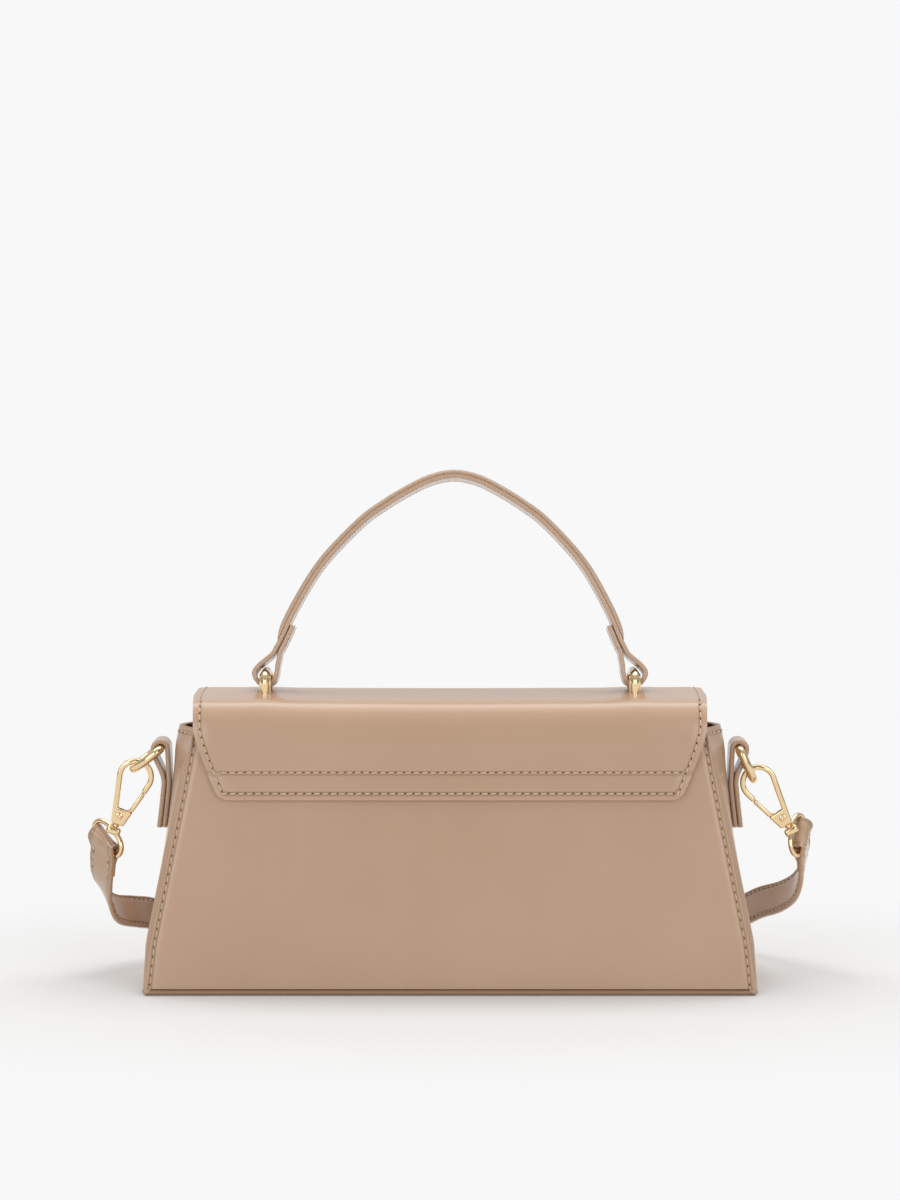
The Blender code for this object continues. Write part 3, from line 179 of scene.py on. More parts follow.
def resampled(line, pitch, margin=0.0):
    """Places along a line of points at even distances, each with the direction there."""
    points = np.array([tuple(p) for p in line])
    steps = np.linalg.norm(np.diff(points, axis=0), axis=1)
    travelled = np.concatenate([[0], np.cumsum(steps)])
    count = max(1, round((travelled[-1] - 2 * margin) / pitch))
    places = []
    for k in range(count):
        s = margin + (travelled[-1] - 2 * margin) * (k + 0.5) / count
        i = min(np.searchsorted(travelled, s, side="right") - 1, len(steps) - 1)
        share = (s - travelled[i]) / max(steps[i], 1e-9)
        at = points[i] + (points[i + 1] - points[i]) * share
        along = (points[i + 1] - points[i]) / max(steps[i], 1e-9)
        places.append((Vector(at), Vector(along)))
    return places


def mesh_piece(name, build, skins):
    """A piece whose mesh a bmesh is filled with, smooth but for its sharp edges."""
    bpy.ops.object.select_all(action="DESELECT")
    shape = bmesh.new()
    build(shape)
    mesh = bpy.data.meshes.new(name)
    shape.to_mesh(mesh)
    shape.free()
    obj = bpy.data.objects.new(name, mesh)
    bpy.context.scene.collection.objects.link(obj)
    for skin in skins:
        mesh.materials.append(skin)
    mesh.shade_smooth()
    mesh.set_sharp_from_angle(angle=math.radians(55))
    return obj


def walls_between(shape, rings, closed=True):
    """Faces from each ring of vertices to the next, right round if the rings are closed."""
    for low, high in zip(rings, rings[1:]):
        count = len(low)
        for i in range(count if closed else count - 1):
            j = (i + 1) % count
            shape.faces.new((low[i], low[j], high[j], high[i]))


def mark_seam_distance(obj, values):
    """Gives each point of a mesh how many millimetres it lies from the stitch line."""
    away = np.array(values, np.float32)
    obj.data.attributes.new("from_seam", "FLOAT", "POINT").data.foreach_set("value", away)


def ribbon_section(width, thickness, crown=0.0, lip=0.0007):
    """The outline of a strap's cut end, as (across, out of its face), with rounded edges. The
    crown is how much its outer face swells over padding."""
    half, thick = width / 2, thickness / 2
    turn = min(lip, thick * 0.95)
    outline = []
    shares = (1, 0.9, 0.72, 0.5, 0.25, 0, -0.25, -0.5, -0.72, -0.9, -1)
    for face in (1, -1):
        for share in shares if face > 0 else reversed(shares):
            swell = crown * max(0, 1 - share**2) ** 0.7 if face > 0 else 0
            outline.append((share * (half - turn), face * (thick + swell)))
        side = -1 if face > 0 else 1
        for k in range(1, 7):
            angle = math.pi * k / 7
            outline.append(
                (
                    side * (half - turn + turn * math.sin(angle)),
                    face * thick * math.cos(angle),
                )
            )
    return outline


def ribbon(name, stations, section, inset, skins, sizes=None, before=None, after=None):
    """A strap through stations, each its middle and the way its width points. Before and after
    are the places where the strap goes on beyond this stretch, if it does. Inset is how far the
    stitch line lies from the strap's edge, in millimetres, and sizes thin the strap at its ends."""
    points = [Vector(p) for p, _ in stations]
    whole = [before or points[0], *points, after or points[-1]]
    marks = []

    def build(shape):
        rings = []
        for i, (point, (_, across)) in enumerate(zip(points, stations)):
            along = (whole[i + 2] - whole[i]).normalized()
            wide = Vector(across)
            wide = (wide - along * wide.dot(along)).normalized()
            out = along.cross(wide)
            grow = sizes[i] if sizes else 1
            ring = []
            for w, t in section:
                ring.append(shape.verts.new(point + wide * w + out * t * grow))
                marks.append(w)
            rings.append(ring)
        walls_between(shape, rings)
        shape.faces.new(list(reversed(rings[0])))
        shape.faces.new(rings[-1])
        bmesh.ops.recalc_face_normals(shape, faces=shape.faces)

    obj = mesh_piece(name, build, skins)
    half = max(w for w, _ in section)
    mark_seam_distance(obj, [(half - abs(w)) * 1000 - inset for w in marks])
    return obj


STITCH_WIDTH = 0.00074
STITCH_SLANT = math.radians(7)


def stitches(name, places, pitch, hidden=0.0):
    """Lock stitches, one mesh: each place is where a stitch lies, the way it runs, and the way
    out of the leather. Each is a short bowed thread between two needle holes, each hole a small
    dark lens of painted shade. Hidden is the share of the thread that a tight seam draws under the
    leather."""
    bpy.ops.object.select_all(action="DESELECT")
    bpy.ops.mesh.primitive_uv_sphere_add(segments=6, ring_count=6, radius=1)
    model = bpy.context.object
    bpy.ops.object.mode_set(mode="EDIT")
    bpy.ops.mesh.select_all(action="SELECT")
    bpy.ops.transform.rotate(value=math.pi / 2, orient_axis="Y", center_override=(0, 0, 0))
    bpy.ops.object.mode_set(mode="OBJECT")
    balls = np.array([tuple(v.co) for v in model.data.vertices])
    faces = [tuple(p.vertices) for p in model.data.polygons]
    bpy.data.objects.remove(model, do_unlink=True)
    verts, polygons, slots = [], [], []
    for at, along, out in places:
        along, out = Vector(along).normalized(), Vector(out).normalized()
        side = out.cross(along).normalized()
        slanted = along * math.cos(STITCH_SLANT) + side * math.sin(STITCH_SLANT)
        turn = np.array([tuple(slanted), tuple(out.cross(slanted)), tuple(out)])
        thick = STITCH_WIDTH / 2 * (1 - hidden * 0.45)
        # The second form is the needle hole: a flat dark brown lens, painted shade for the hollow.
        forms = (
            (0, 0, 0.00010 - hidden * 0.00016, pitch * 0.37, thick, thick),
            (1, pitch / 2, 0.00004 - hidden * 0.00008, 0.00046 + hidden * 0.00008, 0.00036, 0.00014),
        )
        for slot, ahead, up, long, wide, tall in forms:
            start = len(verts)
            shaped = balls * (long, wide, tall) + (ahead, 0, up)
            shaped[:, 2] -= 0.00012 * (shaped[:, 0] / pitch * 2) ** 2 * (1 - slot)
            verts.extend(map(tuple, shaped @ turn + np.array(tuple(at))))
            polygons.extend(tuple(start + i for i in face) for face in faces)
            slots.extend([slot] * len(faces))
    mesh = bpy.data.meshes.new(name)
    mesh.from_pydata(verts, [], polygons)
    mesh.materials.append(THREAD)
    mesh.materials.append(HOLE_SHADE)
    mesh.polygons.foreach_set("material_index", slots)
    mesh.shade_smooth()
    mesh.update()
    obj = bpy.data.objects.new(name, mesh)
    bpy.context.scene.collection.objects.link(obj)
    return obj


def ribbon_stitches(stations, width, thickness, inset, pitch, faces=(1, -1), crown=0.0):
    """Places for a stitch row along each edge of a strap, on the faces named."""
    points = [Vector(p) for p, _ in stations]
    wides = [Vector(a).normalized() for _, a in stations]
    places = []
    last = len(points) - 1
    outs = []
    for i in range(last + 1):
        along = (points[min(i + 1, last)] - points[max(i - 1, 0)]).normalized()
        outs.append(along.cross(wides[i]).normalized())
    share = 1 - inset / (width / 2)
    lift = thickness / 2 + crown * max(0, 1 - share**2) ** 0.7
    for face in faces:
        for side in (1, -1):
            line = [
                p + w * side * (width / 2 - inset) + o * face * (lift if face > 0 else thickness / 2)
                for p, w, o in zip(points, wides, outs)
            ]
            for at, along in resampled(line, pitch):
                near = min(range(last + 1), key=lambda i: (line[i] - at).length)
                places.append((at, along, outs[near] * face))
    return places


def smooth_stations(stations, steps):
    """Stations on a smooth curve through the given ones, their widths turning smoothly too."""
    points = smooth_line([p for p, _ in stations], steps)
    wides = smooth_line([a for _, a in stations], steps)
    return list(zip(points, wides))


STRAP_WIDTH = 0.0150
STRAP_THICKNESS = 0.0022
STRAP_INSET = 0.0017
STRAP_PITCH = 0.0034
RUN_BACK, RUN_SPACING, RUN_HALF = 0.0500, 0.0160, 0.1020
STRAP_MID_HEIGHT = 0.0078
RUN_STEPS, TURN_STEPS = 24, 12
SWIVEL_WIRE = 0.0012
run_line = []
for run, travel in ((0, 1), (1, -1), (2, 1)):
    y = RUN_BACK + run * RUN_SPACING
    low, high = -RUN_HALF, RUN_HALF
    for k in range(RUN_STEPS + 1):
        share = k / RUN_STEPS if travel > 0 else 1 - k / RUN_STEPS
        run_line.append(Vector((low + (high - low) * share, y, STRAP_MID_HEIGHT)))
    for k in range(1, TURN_STEPS) if run < 2 else ():
        angle = math.pi * k / TURN_STEPS
        run_line.append(
            Vector(
                (
                    travel * (RUN_HALF + RUN_SPACING / 2 * math.sin(angle)),
                    y + RUN_SPACING / 2 * (1 - math.cos(angle)),
                    STRAP_MID_HEIGHT,
                )
            )
        )
strap_section = ribbon_section(STRAP_WIDTH, STRAP_THICKNESS)
run_stations = [(p, (0, 0, -1)) for p in run_line]
strap_middle = ribbon(
    "shoulder_strap", run_stations, strap_section, STRAP_INSET * 1000, [STRAP_LEATHER]
)
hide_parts("strap_middle")
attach(strap_middle, "bag")
strap_sewing = stitches(
    "shoulder_strap_stitches",
    ribbon_stitches(run_stations, STRAP_WIDTH, STRAP_THICKNESS, STRAP_INSET, STRAP_PITCH),
    STRAP_PITCH,
)
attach(strap_sewing, "bag")

# Each end: the middle of the swivel ring's bar, the way that the bar runs, the way to the hook,
# and the strap's course from the ring to the first or last run, with the way its width points.
STRAP_ENDS = {
    "left": (
        (-0.15595, 0.0029, 0.06168),
        (0.601, -0.45, -0.661),
        (0.547, -0.372, 0.75),
        (
            ((-0.1570, 0.0020, 0.0572), (0.60, -0.46, -0.66)),
            ((-0.1574, 0.0034, 0.0510), (0.60, -0.47, -0.65)),
            ((-0.1575, 0.0056, 0.0442), (0.58, -0.50, -0.65)),
            ((-0.1562, 0.0096, 0.0366), (0.42, -0.58, -0.70)),
            ((-0.1522, 0.0180, 0.0288), (0.18, -0.60, -0.78)),
            ((-0.1450, 0.0310, 0.0253), (0.05, -0.46, -0.88)),
            ((-0.1370, 0.0430, 0.0218), (0.00, -0.24, -0.97)),
            ((-0.1220, 0.0500, 0.0125), (0.00, -0.06, -1.00)),
            ((-0.1020, 0.0500, 0.0078), (0, 0, -1)),
        ),
    ),
    "right": (
        (0.15878, 0.00476, 0.06368),
        (-0.170, -0.50, -0.849),
        (-0.627, -0.61, 0.484),
        (
            ((0.1606, 0.0060, 0.0590), (-0.26, -0.52, -0.81)),
            ((0.1606, 0.0095, 0.0525), (-0.24, -0.56, -0.79)),
            ((0.1600, 0.0140, 0.0456), (-0.18, -0.58, -0.79)),
            ((0.1574, 0.0210, 0.0380), (-0.10, -0.55, -0.83)),
            ((0.1520, 0.0320, 0.0320), (-0.04, -0.45, -0.89)),
            ((0.1438, 0.0460, 0.0268), (0.00, -0.30, -0.95)),
            ((0.1335, 0.0620, 0.0186), (0.00, -0.16, -0.99)),
            ((0.1180, 0.0780, 0.0115), (0.00, -0.05, -1.00)),
            ((0.1020, 0.0820, 0.0078), (0, 0, -1)),
        ),
    ),
}
ROLL_RADIUS = SWIVEL_WIRE + 0.0001 + STRAP_THICKNESS / 2
TAIL_LENGTH = 0.0140
TAIL_CLOSE = 0.0080
TAIL_GAP = 0.0007
ROLL_STEPS, TAIL_STEPS, ROUTE_STEPS = 24, 13, 10
STRETCH_CUTS = (10, 22, 34)
UNSEWN_STATIONS = 5
strap_pieces = []
for side, (bar, across, toward, route) in STRAP_ENDS.items():
    bar, across, toward = Vector(bar), Vector(across).normalized(), Vector(toward).normalized()
    outward = across.cross(toward)
    outward = outward if outward.x * bar.x > 0 else -outward
    # The loop lies round the ring's bar and leans over to the way that the strap hangs.
    hang = (Vector(route[1][0]) - bar - outward * ROLL_RADIUS).normalized()
    skew, more = math.asin(hang.dot(across)), math.asin(max(0, -hang.dot(outward)))
    turn = math.pi + more
    roll, middle = [], bar.copy()
    for k in range(ROLL_STEPS + 1):
        angle = turn * k / ROLL_STEPS
        lean = skew * (0.1 - 0.9 * math.cos(math.pi * k / ROLL_STEPS))
        run = toward * math.cos(angle) + outward * math.sin(angle)
        around = toward * math.sin(angle) - outward * math.cos(angle)
        roll.append((middle + around * ROLL_RADIUS, across * math.cos(lean) - run * math.sin(lean)))
        middle = middle + across * ROLL_RADIUS * turn / ROLL_STEPS * math.tan(lean)
    path = smooth_stations([roll[-1], *route], ROUTE_STEPS)
    down = -toward * math.cos(more) - outward * math.sin(more)
    closer = outward * math.cos(more) - toward * math.sin(more)
    tail_way = down * math.cos(skew * 0.8) + across * math.sin(skew * 0.8)
    tail_wide = across * math.cos(skew * 0.8) - down * math.sin(skew * 0.8)
    tail = []
    for k in range(1, TAIL_STEPS + 1):
        travelled = TAIL_LENGTH * k / TAIL_STEPS
        close = (2 * ROLL_RADIUS - STRAP_THICKNESS - TAIL_GAP) * min(1, travelled / TAIL_CLOSE) ** 1.5
        tail.append((roll[0][0] + tail_way * travelled + closer * close, tail_wide))
    turned = [*reversed(tail), *roll[:-1]]
    # The strap's end bends in four stretches, so that each follows the fitting that it hangs on.
    cuts = (0, *STRETCH_CUTS, len(path) - 1)
    stretches = (
        ("swivel_" + side, None, [*turned, *path[: cuts[1] + 1]]),
        ("hook_" + side, "swivel_" + side, path[cuts[1] : cuts[2] + 1]),
        ("ring_" + side, "hook_" + side, path[cuts[2] : cuts[3] + 1]),
        ("bag", "ring_" + side, path[cuts[3] :]),
    )
    for number, (body, before, stations) in enumerate(stretches):
        name = f"strap_end_{side}_{number}"
        piece = ribbon(
            name, stations, strap_section, STRAP_INSET * 1000, [STRAP_LEATHER],
            before=path[cuts[number] - 1][0] if number else None,
            after=path[cuts[number + 1] + 1][0] if number < 3 else None,
        )
        sewn = stations if number else path[UNSEWN_STATIONS : cuts[1] + 1]
        places = ribbon_stitches(sewn, STRAP_WIDTH, STRAP_THICKNESS, STRAP_INSET, STRAP_PITCH)
        sewing = stitches(name + "_stitches", places, STRAP_PITCH, hidden=0.6)
        for item in (piece, sewing):
            if before:
                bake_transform(item)
            else:
                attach(item, body)
        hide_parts("strap_end_" + side)
        strap_pieces += [piece, sewing]

# Body panels: the back and the front are cut from thick smooth leather, stiffened behind, and
# belly out a little between their seams. Each is stitched down both sides to the gussets.
BASE_HALF, RIM_HALF = 0.1353, 0.1128
BASE_DEEP, RIM_DEEP = 0.0410, 0.0310
FOOT, RIM, RIM_TOP = 0.0026, 0.1142, 0.1162
PANEL_THICKNESS = 0.0020
SIDE_SEAM, FOOT_SEAM = 0.0018, 0.0029
PANEL_SPREAD = 0.0008
FOOT_FADE = 0.0200
SIDE_PITCH = 0.0041
RIM_SEAM = 0.0027
BELLY = 0.0013
BODY_LEATHER = leather("smooth coated leather", "#B59377", "#C2A186", 0.34, coat=0.5)
EDGE_PAINT = leather("painted leather edge", "#AE8C70", "#BC9A7D", 0.42, grain=0.05, seam=False)
FLESH_SIDE = leather("suede flesh side", "#9C7E64", "#AB8D72", 0.85, grain=0.6, seam=False, coat=0)
BAG_MIDDLE = Vector((0, 0, 0.0600))


def rise(z):
    """The share of the way up from the foot of the walls to their rim."""
    return (z - FOOT) / (RIM - FOOT)


def half_width(z):
    return BASE_HALF + (RIM_HALF - BASE_HALF) * rise(z)


def half_depth(z):
    return BASE_DEEP + (RIM_DEEP - BASE_DEEP) * rise(z)


def panel_edge(z):
    """Half the width of the front and the back where they are cut."""
    return half_width(z) + PANEL_SPREAD * min(1, max(0, z - FOOT) / FOOT_FADE)


def panel_seam(z):
    """How far from the middle the stitches run down a panel's side."""
    near_foot = 1 - min(1, max(0, z - FOOT) / FOOT_FADE)
    return panel_edge(z) - SIDE_SEAM - (FOOT_SEAM - SIDE_SEAM) * near_foot


def belly(x, z):
    """How far the front and the back swell beyond their flat shape."""
    across = max(0, 1 - (x / panel_edge(z)) ** 2)
    return BELLY * across**1.3 * math.sin(math.pi * min(1, max(0, rise(z)))) ** 0.8


def pick(obj, *others):
    """Selects these objects alone, with the first one active."""
    bpy.ops.object.select_all(action="DESELECT")
    for item in (obj, *others):
        item.select_set(True)
    bpy.context.view_layer.objects.active = obj


def leather_sheet(name, rows, thickness, skins, marks, edge=0.0006, closed=False):
    """Leather whose outer face runs through rows of points. It is given its thickness inwards,
    towards the bag's middle, and rounded edges. Marks are millimetres from the stitch line."""

    def build(shape):
        grid = [[shape.verts.new(point) for point in row] for row in rows]
        walls_between(shape, grid, closed)

    obj = mesh_piece(name, build, skins)
    if sum(p.area * p.normal.dot(p.center - BAG_MIDDLE) for p in obj.data.polygons) < 0:
        obj.data.flip_normals()
    mark_seam_distance(obj, [mark for row in marks for mark in row])
    pick(obj)
    solid = obj.modifiers.new("thickness", "SOLIDIFY")
    solid.thickness = thickness
    solid.offset = -1
    solid.material_offset = len(skins) - 1
    solid.material_offset_rim = min(1, len(skins) - 1)
    rounded = obj.modifiers.new("rounded edges", "BEVEL")
    rounded.width = edge
    rounded.segments = 3
    rounded.angle_limit = math.radians(50)
    for change in (solid, rounded):
        bpy.ops.object.modifier_apply(modifier=change.name)
    obj.data.shade_smooth()
    obj.data.set_sharp_from_angle(angle=math.radians(50))
    return obj


def seam_along(points, out, pitch, margin=0.0):
    """Stitch places along a line, all facing one way, or each the way that a function gives."""
    facing = out if callable(out) else lambda at: out
    return [(at, along, facing(at)) for at, along in resampled(points, pitch, margin)]


panel_lean = math.atan((BASE_DEEP - RIM_DEEP) / (RIM - FOOT))
PANEL_ROWS = 60
SEAM_VALLEY, VALLEY_WIDTH = 0.00050, 0.0013
near_side = [
    0.0003, 0.0007, 0.0011, 0.0015, 0.0019, 0.0023, 0.0028, 0.0034, 0.0042, 0.0052, 0.0066, 0.0086,
]
half_columns = [0, *near_side, *np.linspace(0.0115, 0.1100, 30)]
for name, side in (("back", -1), ("front", 1)):
    rows, marks = [], []
    for i in range(PANEL_ROWS + 1):
        z = FOOT + 0.0003 + (RIM_TOP - FOOT - 0.0003) * i / PANEL_ROWS
        row, away = [], []
        reach = panel_edge(z)
        right = [reach - inward for inward in half_columns if inward < reach - 0.002]
        for x in [*[-x for x in right], 0, *reversed(right)]:
            from_side = panel_seam(z) - abs(x)
            valley = SEAM_VALLEY * math.exp(-((from_side / VALLEY_WIDTH) ** 2))
            row.append((x, side * (half_depth(z) + belly(x, z) - valley), z))
            from_rim = RIM_TOP - z - RIM_SEAM
            away.append(1000 * min(abs(from_side), abs(from_rim)))
        rows.append(row)
        marks.append(away)
    out = (0, side * math.cos(panel_lean), math.sin(panel_lean))
    panel = leather_sheet(
        name + "_of_bag", rows, PANEL_THICKNESS, [BODY_LEATHER, EDGE_PAINT, FLESH_SIDE], marks
    )
    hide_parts(name + "_panel")
    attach(panel, "bag")
    places = []
    for edge in (-1, 1):
        line = []
        for k in range(41):
            z = 0.0008 + (RIM_TOP - 0.0034) * k / 40
            low = max(z, FOOT)
            x = edge * panel_seam(low)
            line.append(Vector((x, side * (half_depth(low) + belly(x, low) - SEAM_VALLEY), z)))
        places += seam_along(line, out, SIDE_PITCH)
    z = RIM_TOP - RIM_SEAM
    reach = panel_seam(z) - SIDE_PITCH / 2
    line = [Vector((reach * (k / 20 - 1), side * half_depth(z), z)) for k in range(41)]
    places += seam_along(line, out, SIDE_PITCH)
    sewing = stitches(name + "_of_bag_stitches", places, SIDE_PITCH, hidden=0.7)
    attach(sewing, "bag")

# Gussets: the two end panels, softer leather that swells outwards towards the rim, where it is
# drawn in beside a bulge. Their long edges are turned back and sewn behind the front and the back.
GUSSET_THICKNESS = 0.0016
LIP = 0.0032
LIP_FADE = 0.0200
SWELL = 0.0100
FLANGE = 0.0065
TURN_RADIUS = 0.0022
SEAM_GAP = 0.0003
MOUTH_FOOT, MOUTH_MIDDLE, MOUTH_HALF = 0.0980, -0.0040, 0.0130
MOUTH_SWELL, MOUTH_DRAW = 0.0101, 0.0012
GUSSET_LEATHER = leather("supple gusset leather", "#B49276", "#C1A085", 0.36, coat=0.5)


def gusset_reach(z, y):
    """How far from the bag's middle the gusset's outer face lies: a lip at its long edges, a web
    that swells upwards between them, and at the mouth a bulge with the leather drawn in beside."""
    edge = half_depth(z) - PANEL_THICKNESS - SEAM_GAP - TURN_RADIUS
    fade = min(1, (z - FOOT) / LIP_FADE)
    lip = LIP * (0.1 + 0.9 * fade)
    swell = (SWELL - LIP) * min(1, max(0, rise(z))) ** 2.5
    smooth_web = lip + swell * max(0, 1 - (y / edge) ** 2)
    pinched = MOUTH_SWELL * math.exp(-(((y - MOUTH_MIDDLE) / MOUTH_HALF) ** 2)) - MOUTH_DRAW
    share = min(1, max(0, (z - MOUTH_FOOT) / (RIM_TOP - MOUTH_FOOT)))
    share = share * share * (3 - 2 * share)
    return half_width(z) + smooth_web * (1 - share) + pinched * share


def gusset_outline(z, side, inset=0.0, flange=True, web_steps=24):
    """The gusset's outer face at one height, from its back edge round to its front edge."""
    face = half_depth(z) - PANEL_THICKNESS - SEAM_GAP - inset
    edge = half_depth(z) - PANEL_THICKNESS - SEAM_GAP - TURN_RADIUS
    lip_x = gusset_reach(z, edge) - inset
    turn = max(TURN_RADIUS - inset, SEAM_GAP)
    ends = []
    for sign in (-1, 1):
        corner = []
        if flange:
            corner = [(half_width(z) - FLANGE + 0.0030 * k, sign * face) for k in range(3)]
        for k in range(6):
            angle = math.pi / 2 * k / 5
            corner.append(
                (lip_x - turn + turn * math.sin(angle), sign * (face - turn + turn * math.cos(angle)))
            )
        ends.append(corner)
    web = []
    for k in range(1, web_steps):
        y = edge * (2 * k / web_steps - 1)
        web.append((gusset_reach(z, y) - inset, y))
    return [(side * x, y, z) for x, y in (*ends[0], *web, *reversed(ends[1]))]


GUSSET_ROWS = 30
for name, side in (("left", -1), ("right", 1)):
    gusset_rise = (RIM_TOP - FOOT - SEAM_GAP) / GUSSET_ROWS
    heights = [FOOT + SEAM_GAP + gusset_rise * k for k in range(GUSSET_ROWS + 1)]
    rows = [gusset_outline(z, side) for z in heights]
    marks = [[1000 * (RIM_TOP - z - RIM_SEAM)] * len(row) for z, row in zip(heights, rows)]
    gusset = leather_sheet(
        "gusset_of_bag_" + name, rows, GUSSET_THICKNESS, [GUSSET_LEATHER, EDGE_PAINT, FLESH_SIDE],
        marks, edge=0.0005,
    )
    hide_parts("gusset_" + name)
    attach(gusset, "bag")
    z = RIM_TOP - RIM_SEAM
    edge = half_depth(z) - PANEL_THICKNESS - TURN_RADIUS
    depths = [edge * (k / 20 - 1) for k in range(41)]
    line = [Vector((side * gusset_reach(z, y), y, z)) for y in depths]
    sewing = stitches(
        "gusset_stitches_" + name,
        seam_along(line, lambda at: (side, at.y * 0.5 / edge, 0.1), SIDE_PITCH),
        SIDE_PITCH,
    )
    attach(sewing, "bag")

# Base: a leather plate whose edge is turned over a stiff board, so that it shows as a rounded
# strip under the front and the back. Its leather is coloured darker than the walls, as painted
# shade for the strip that sits low under them. The board lies inside, on the leather.
bpy.ops.object.select_all(action="DESELECT")
bpy.ops.mesh.primitive_cube_add(size=1, location=(0, 0, FOOT / 2))
base = bpy.context.object
base.name = "base_of_bag"
base.scale = (2 * BASE_HALF, 2 * BASE_DEEP, FOOT)
bpy.ops.object.transform_apply(location=True, rotation=True, scale=True)
bpy.ops.object.mode_set(mode="EDIT")
bpy.ops.mesh.select_mode(type="EDGE")
bpy.ops.mesh.select_all(action="DESELECT")
shape = bmesh.from_edit_mesh(base.data)
for edge in shape.edges:
    upright = (edge.verts[0].co - edge.verts[1].co).normalized()
    edge.select_set(abs(upright.z) > 0.9)
bmesh.update_edit_mesh(base.data)
bpy.ops.mesh.bevel(offset=0.0030, segments=6)
bpy.ops.object.mode_set(mode="OBJECT")
turned_edge = base.modifiers.new("turned edge", "BEVEL")
turned_edge.width = 0.00125
turned_edge.segments = 5
turned_edge.angle_limit = math.radians(50)
bpy.ops.object.modifier_apply(modifier=turned_edge.name)
base.data.shade_smooth()
# Darker brown than the walls: painted shade on the strip under the panels.
base.data.materials.append(
    leather("turned base leather", "#8F6F56", "#9C7B61", 0.44, grain=0.2, seam=False, coat=0.2)
)
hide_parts("base_panel")
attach(base, "bag")

# Where the base's edge meets a gusset the leather is gathered into a small knuckle.
for number, (x, y) in enumerate(((-1, -1), (1, -1), (1, 1), (-1, 1))):
    bpy.ops.object.select_all(action="DESELECT")
    bpy.ops.mesh.primitive_uv_sphere_add(
        segments=20, ring_count=12, radius=0.0013,
        location=(x * (BASE_HALF - 0.0013), y * (BASE_DEEP - 0.0004), 0.0019),
    )
    knuckle = bpy.context.object
    knuckle.name = f"corner_fold_{number}"
    knuckle.scale = (1.35, 0.75, 1.0)
    bpy.ops.object.transform_apply(location=True, rotation=True, scale=True)
    knuckle.data.shade_smooth()
    knuckle.data.materials.append(EDGE_PAINT)
    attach(knuckle, "bag")


def refinish(node_name, skin):
    """Gives a piece that keeps its CAD shape its finished material."""
    mesh = bpy.data.objects[node_name].data
    mesh.materials.clear()
    mesh.materials.append(skin)


# Pressed fibre board is grey and dull, with flecks a couple of millimetres across.
refinish("base_board", flecked("pressed fibre board", "#8C877E", "#A8A398", 500, 4, 0.9))

# Lining: a bag of brown twill that hangs inside the walls, and above it a leather facing that
# finishes the mouth and is caught in the rim's stitches.
FACING_FOOT = 0.0962
FACING_TOP = 0.1161
LINING_FOOT = 0.0055
WALL_INSET = GUSSET_THICKNESS + 0.0008


def twill():
    """Brown cotton twill: diagonal ribs that catch the light a little, drawn coarse, about 5 mm
    apart, so that they show."""
    skin, tree, shader = shaded("brown cotton twill")
    where = node(tree, "ShaderNodeTexCoord").outputs["Object"]
    ribs = node(
        tree, "ShaderNodeTexWave",
        {"wave_type": "BANDS", "bands_direction": "DIAGONAL", "Scale": 90, "Distortion": 0.4},
        {"Vector": where},
    )
    tone = two_tones(tree, ribs.outputs["Fac"], "#5A4535", "#6F5745")
    raised = node(
        tree, "ShaderNodeBump", {"Strength": 0.4, "Distance": 0.0002}, {"Height": ribs.outputs["Fac"]}
    )
    tree.links.new(tone, shader.inputs["Base Color"])
    tree.links.new(raised.outputs["Normal"], shader.inputs["Normal"])
    shader.inputs["Roughness"].default_value = 0.85
    shader.inputs["Sheen Weight"].default_value = 0.2
    return skin


FACING_INSET = GUSSET_THICKNESS + 0.0001


def inner_ring(z, inset):
    """A closed outline inside the bag's walls at one height."""
    right = gusset_outline(z, 1, inset, flange=False)
    left = gusset_outline(z, -1, inset, flange=False)
    return [*right, *reversed(left)]


def fuller(ring):
    """The ring with its two long walls given more points, for folds."""
    whole = []
    for a, b in zip(ring, [*ring[1:], ring[0]]):
        steps = 40 if abs(a[0] - b[0]) > 0.1 else 1
        for k in range(steps):
            whole.append(tuple(p + (q - p) * k / steps for p, q in zip(a, b)))
    return whole


lining_rows = []
for i in range(25):
    z = LINING_FOOT + (FACING_FOOT - SEAM_GAP - LINING_FOOT) * i / 24
    hang = 0.0010 * math.sin(math.pi * i / 24)
    ring = []
    for x, y, _ in fuller(inner_ring(z, WALL_INSET)):
        fold = hang * (1 + math.sin(x * 95 + 1.5 * math.sin(z * 60))) / 2
        ring.append((x * (1 - fold), y - math.copysign(fold, y) if abs(y) > 0.005 else y, z))
    lining_rows.append(ring)
middle = sum((Vector(p) for p in lining_rows[0]), Vector()) / len(lining_rows[0])
floor_rows = [
    [tuple(middle + (Vector(p) - middle) * share) for p in lining_rows[0]] for share in (0.02, 0.5, 0.97)
]
lining_rows = [*floor_rows, *lining_rows]
lining = leather_sheet(
    "lining_of_bag", lining_rows, 0.0007, [twill()], [[9.0] * len(r) for r in lining_rows],
    edge=0.0002, closed=True,
)
facing_rows = [
    fuller(inner_ring(FACING_FOOT + (FACING_TOP - FACING_FOOT) * i / 8, FACING_INSET)) for i in range(9)
]
facing = leather_sheet(
    "facing_of_mouth", facing_rows, 0.0010, [FLESH_SIDE], [[9.0] * len(r) for r in facing_rows],
    edge=0.0003, closed=True,
)
for piece, cad_node, slot in (
    (lining, "lining", "lining_cloth"), (facing, "rim_facing", "leather_flesh_side"),
):
    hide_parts(cad_node)
    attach(piece, "bag")

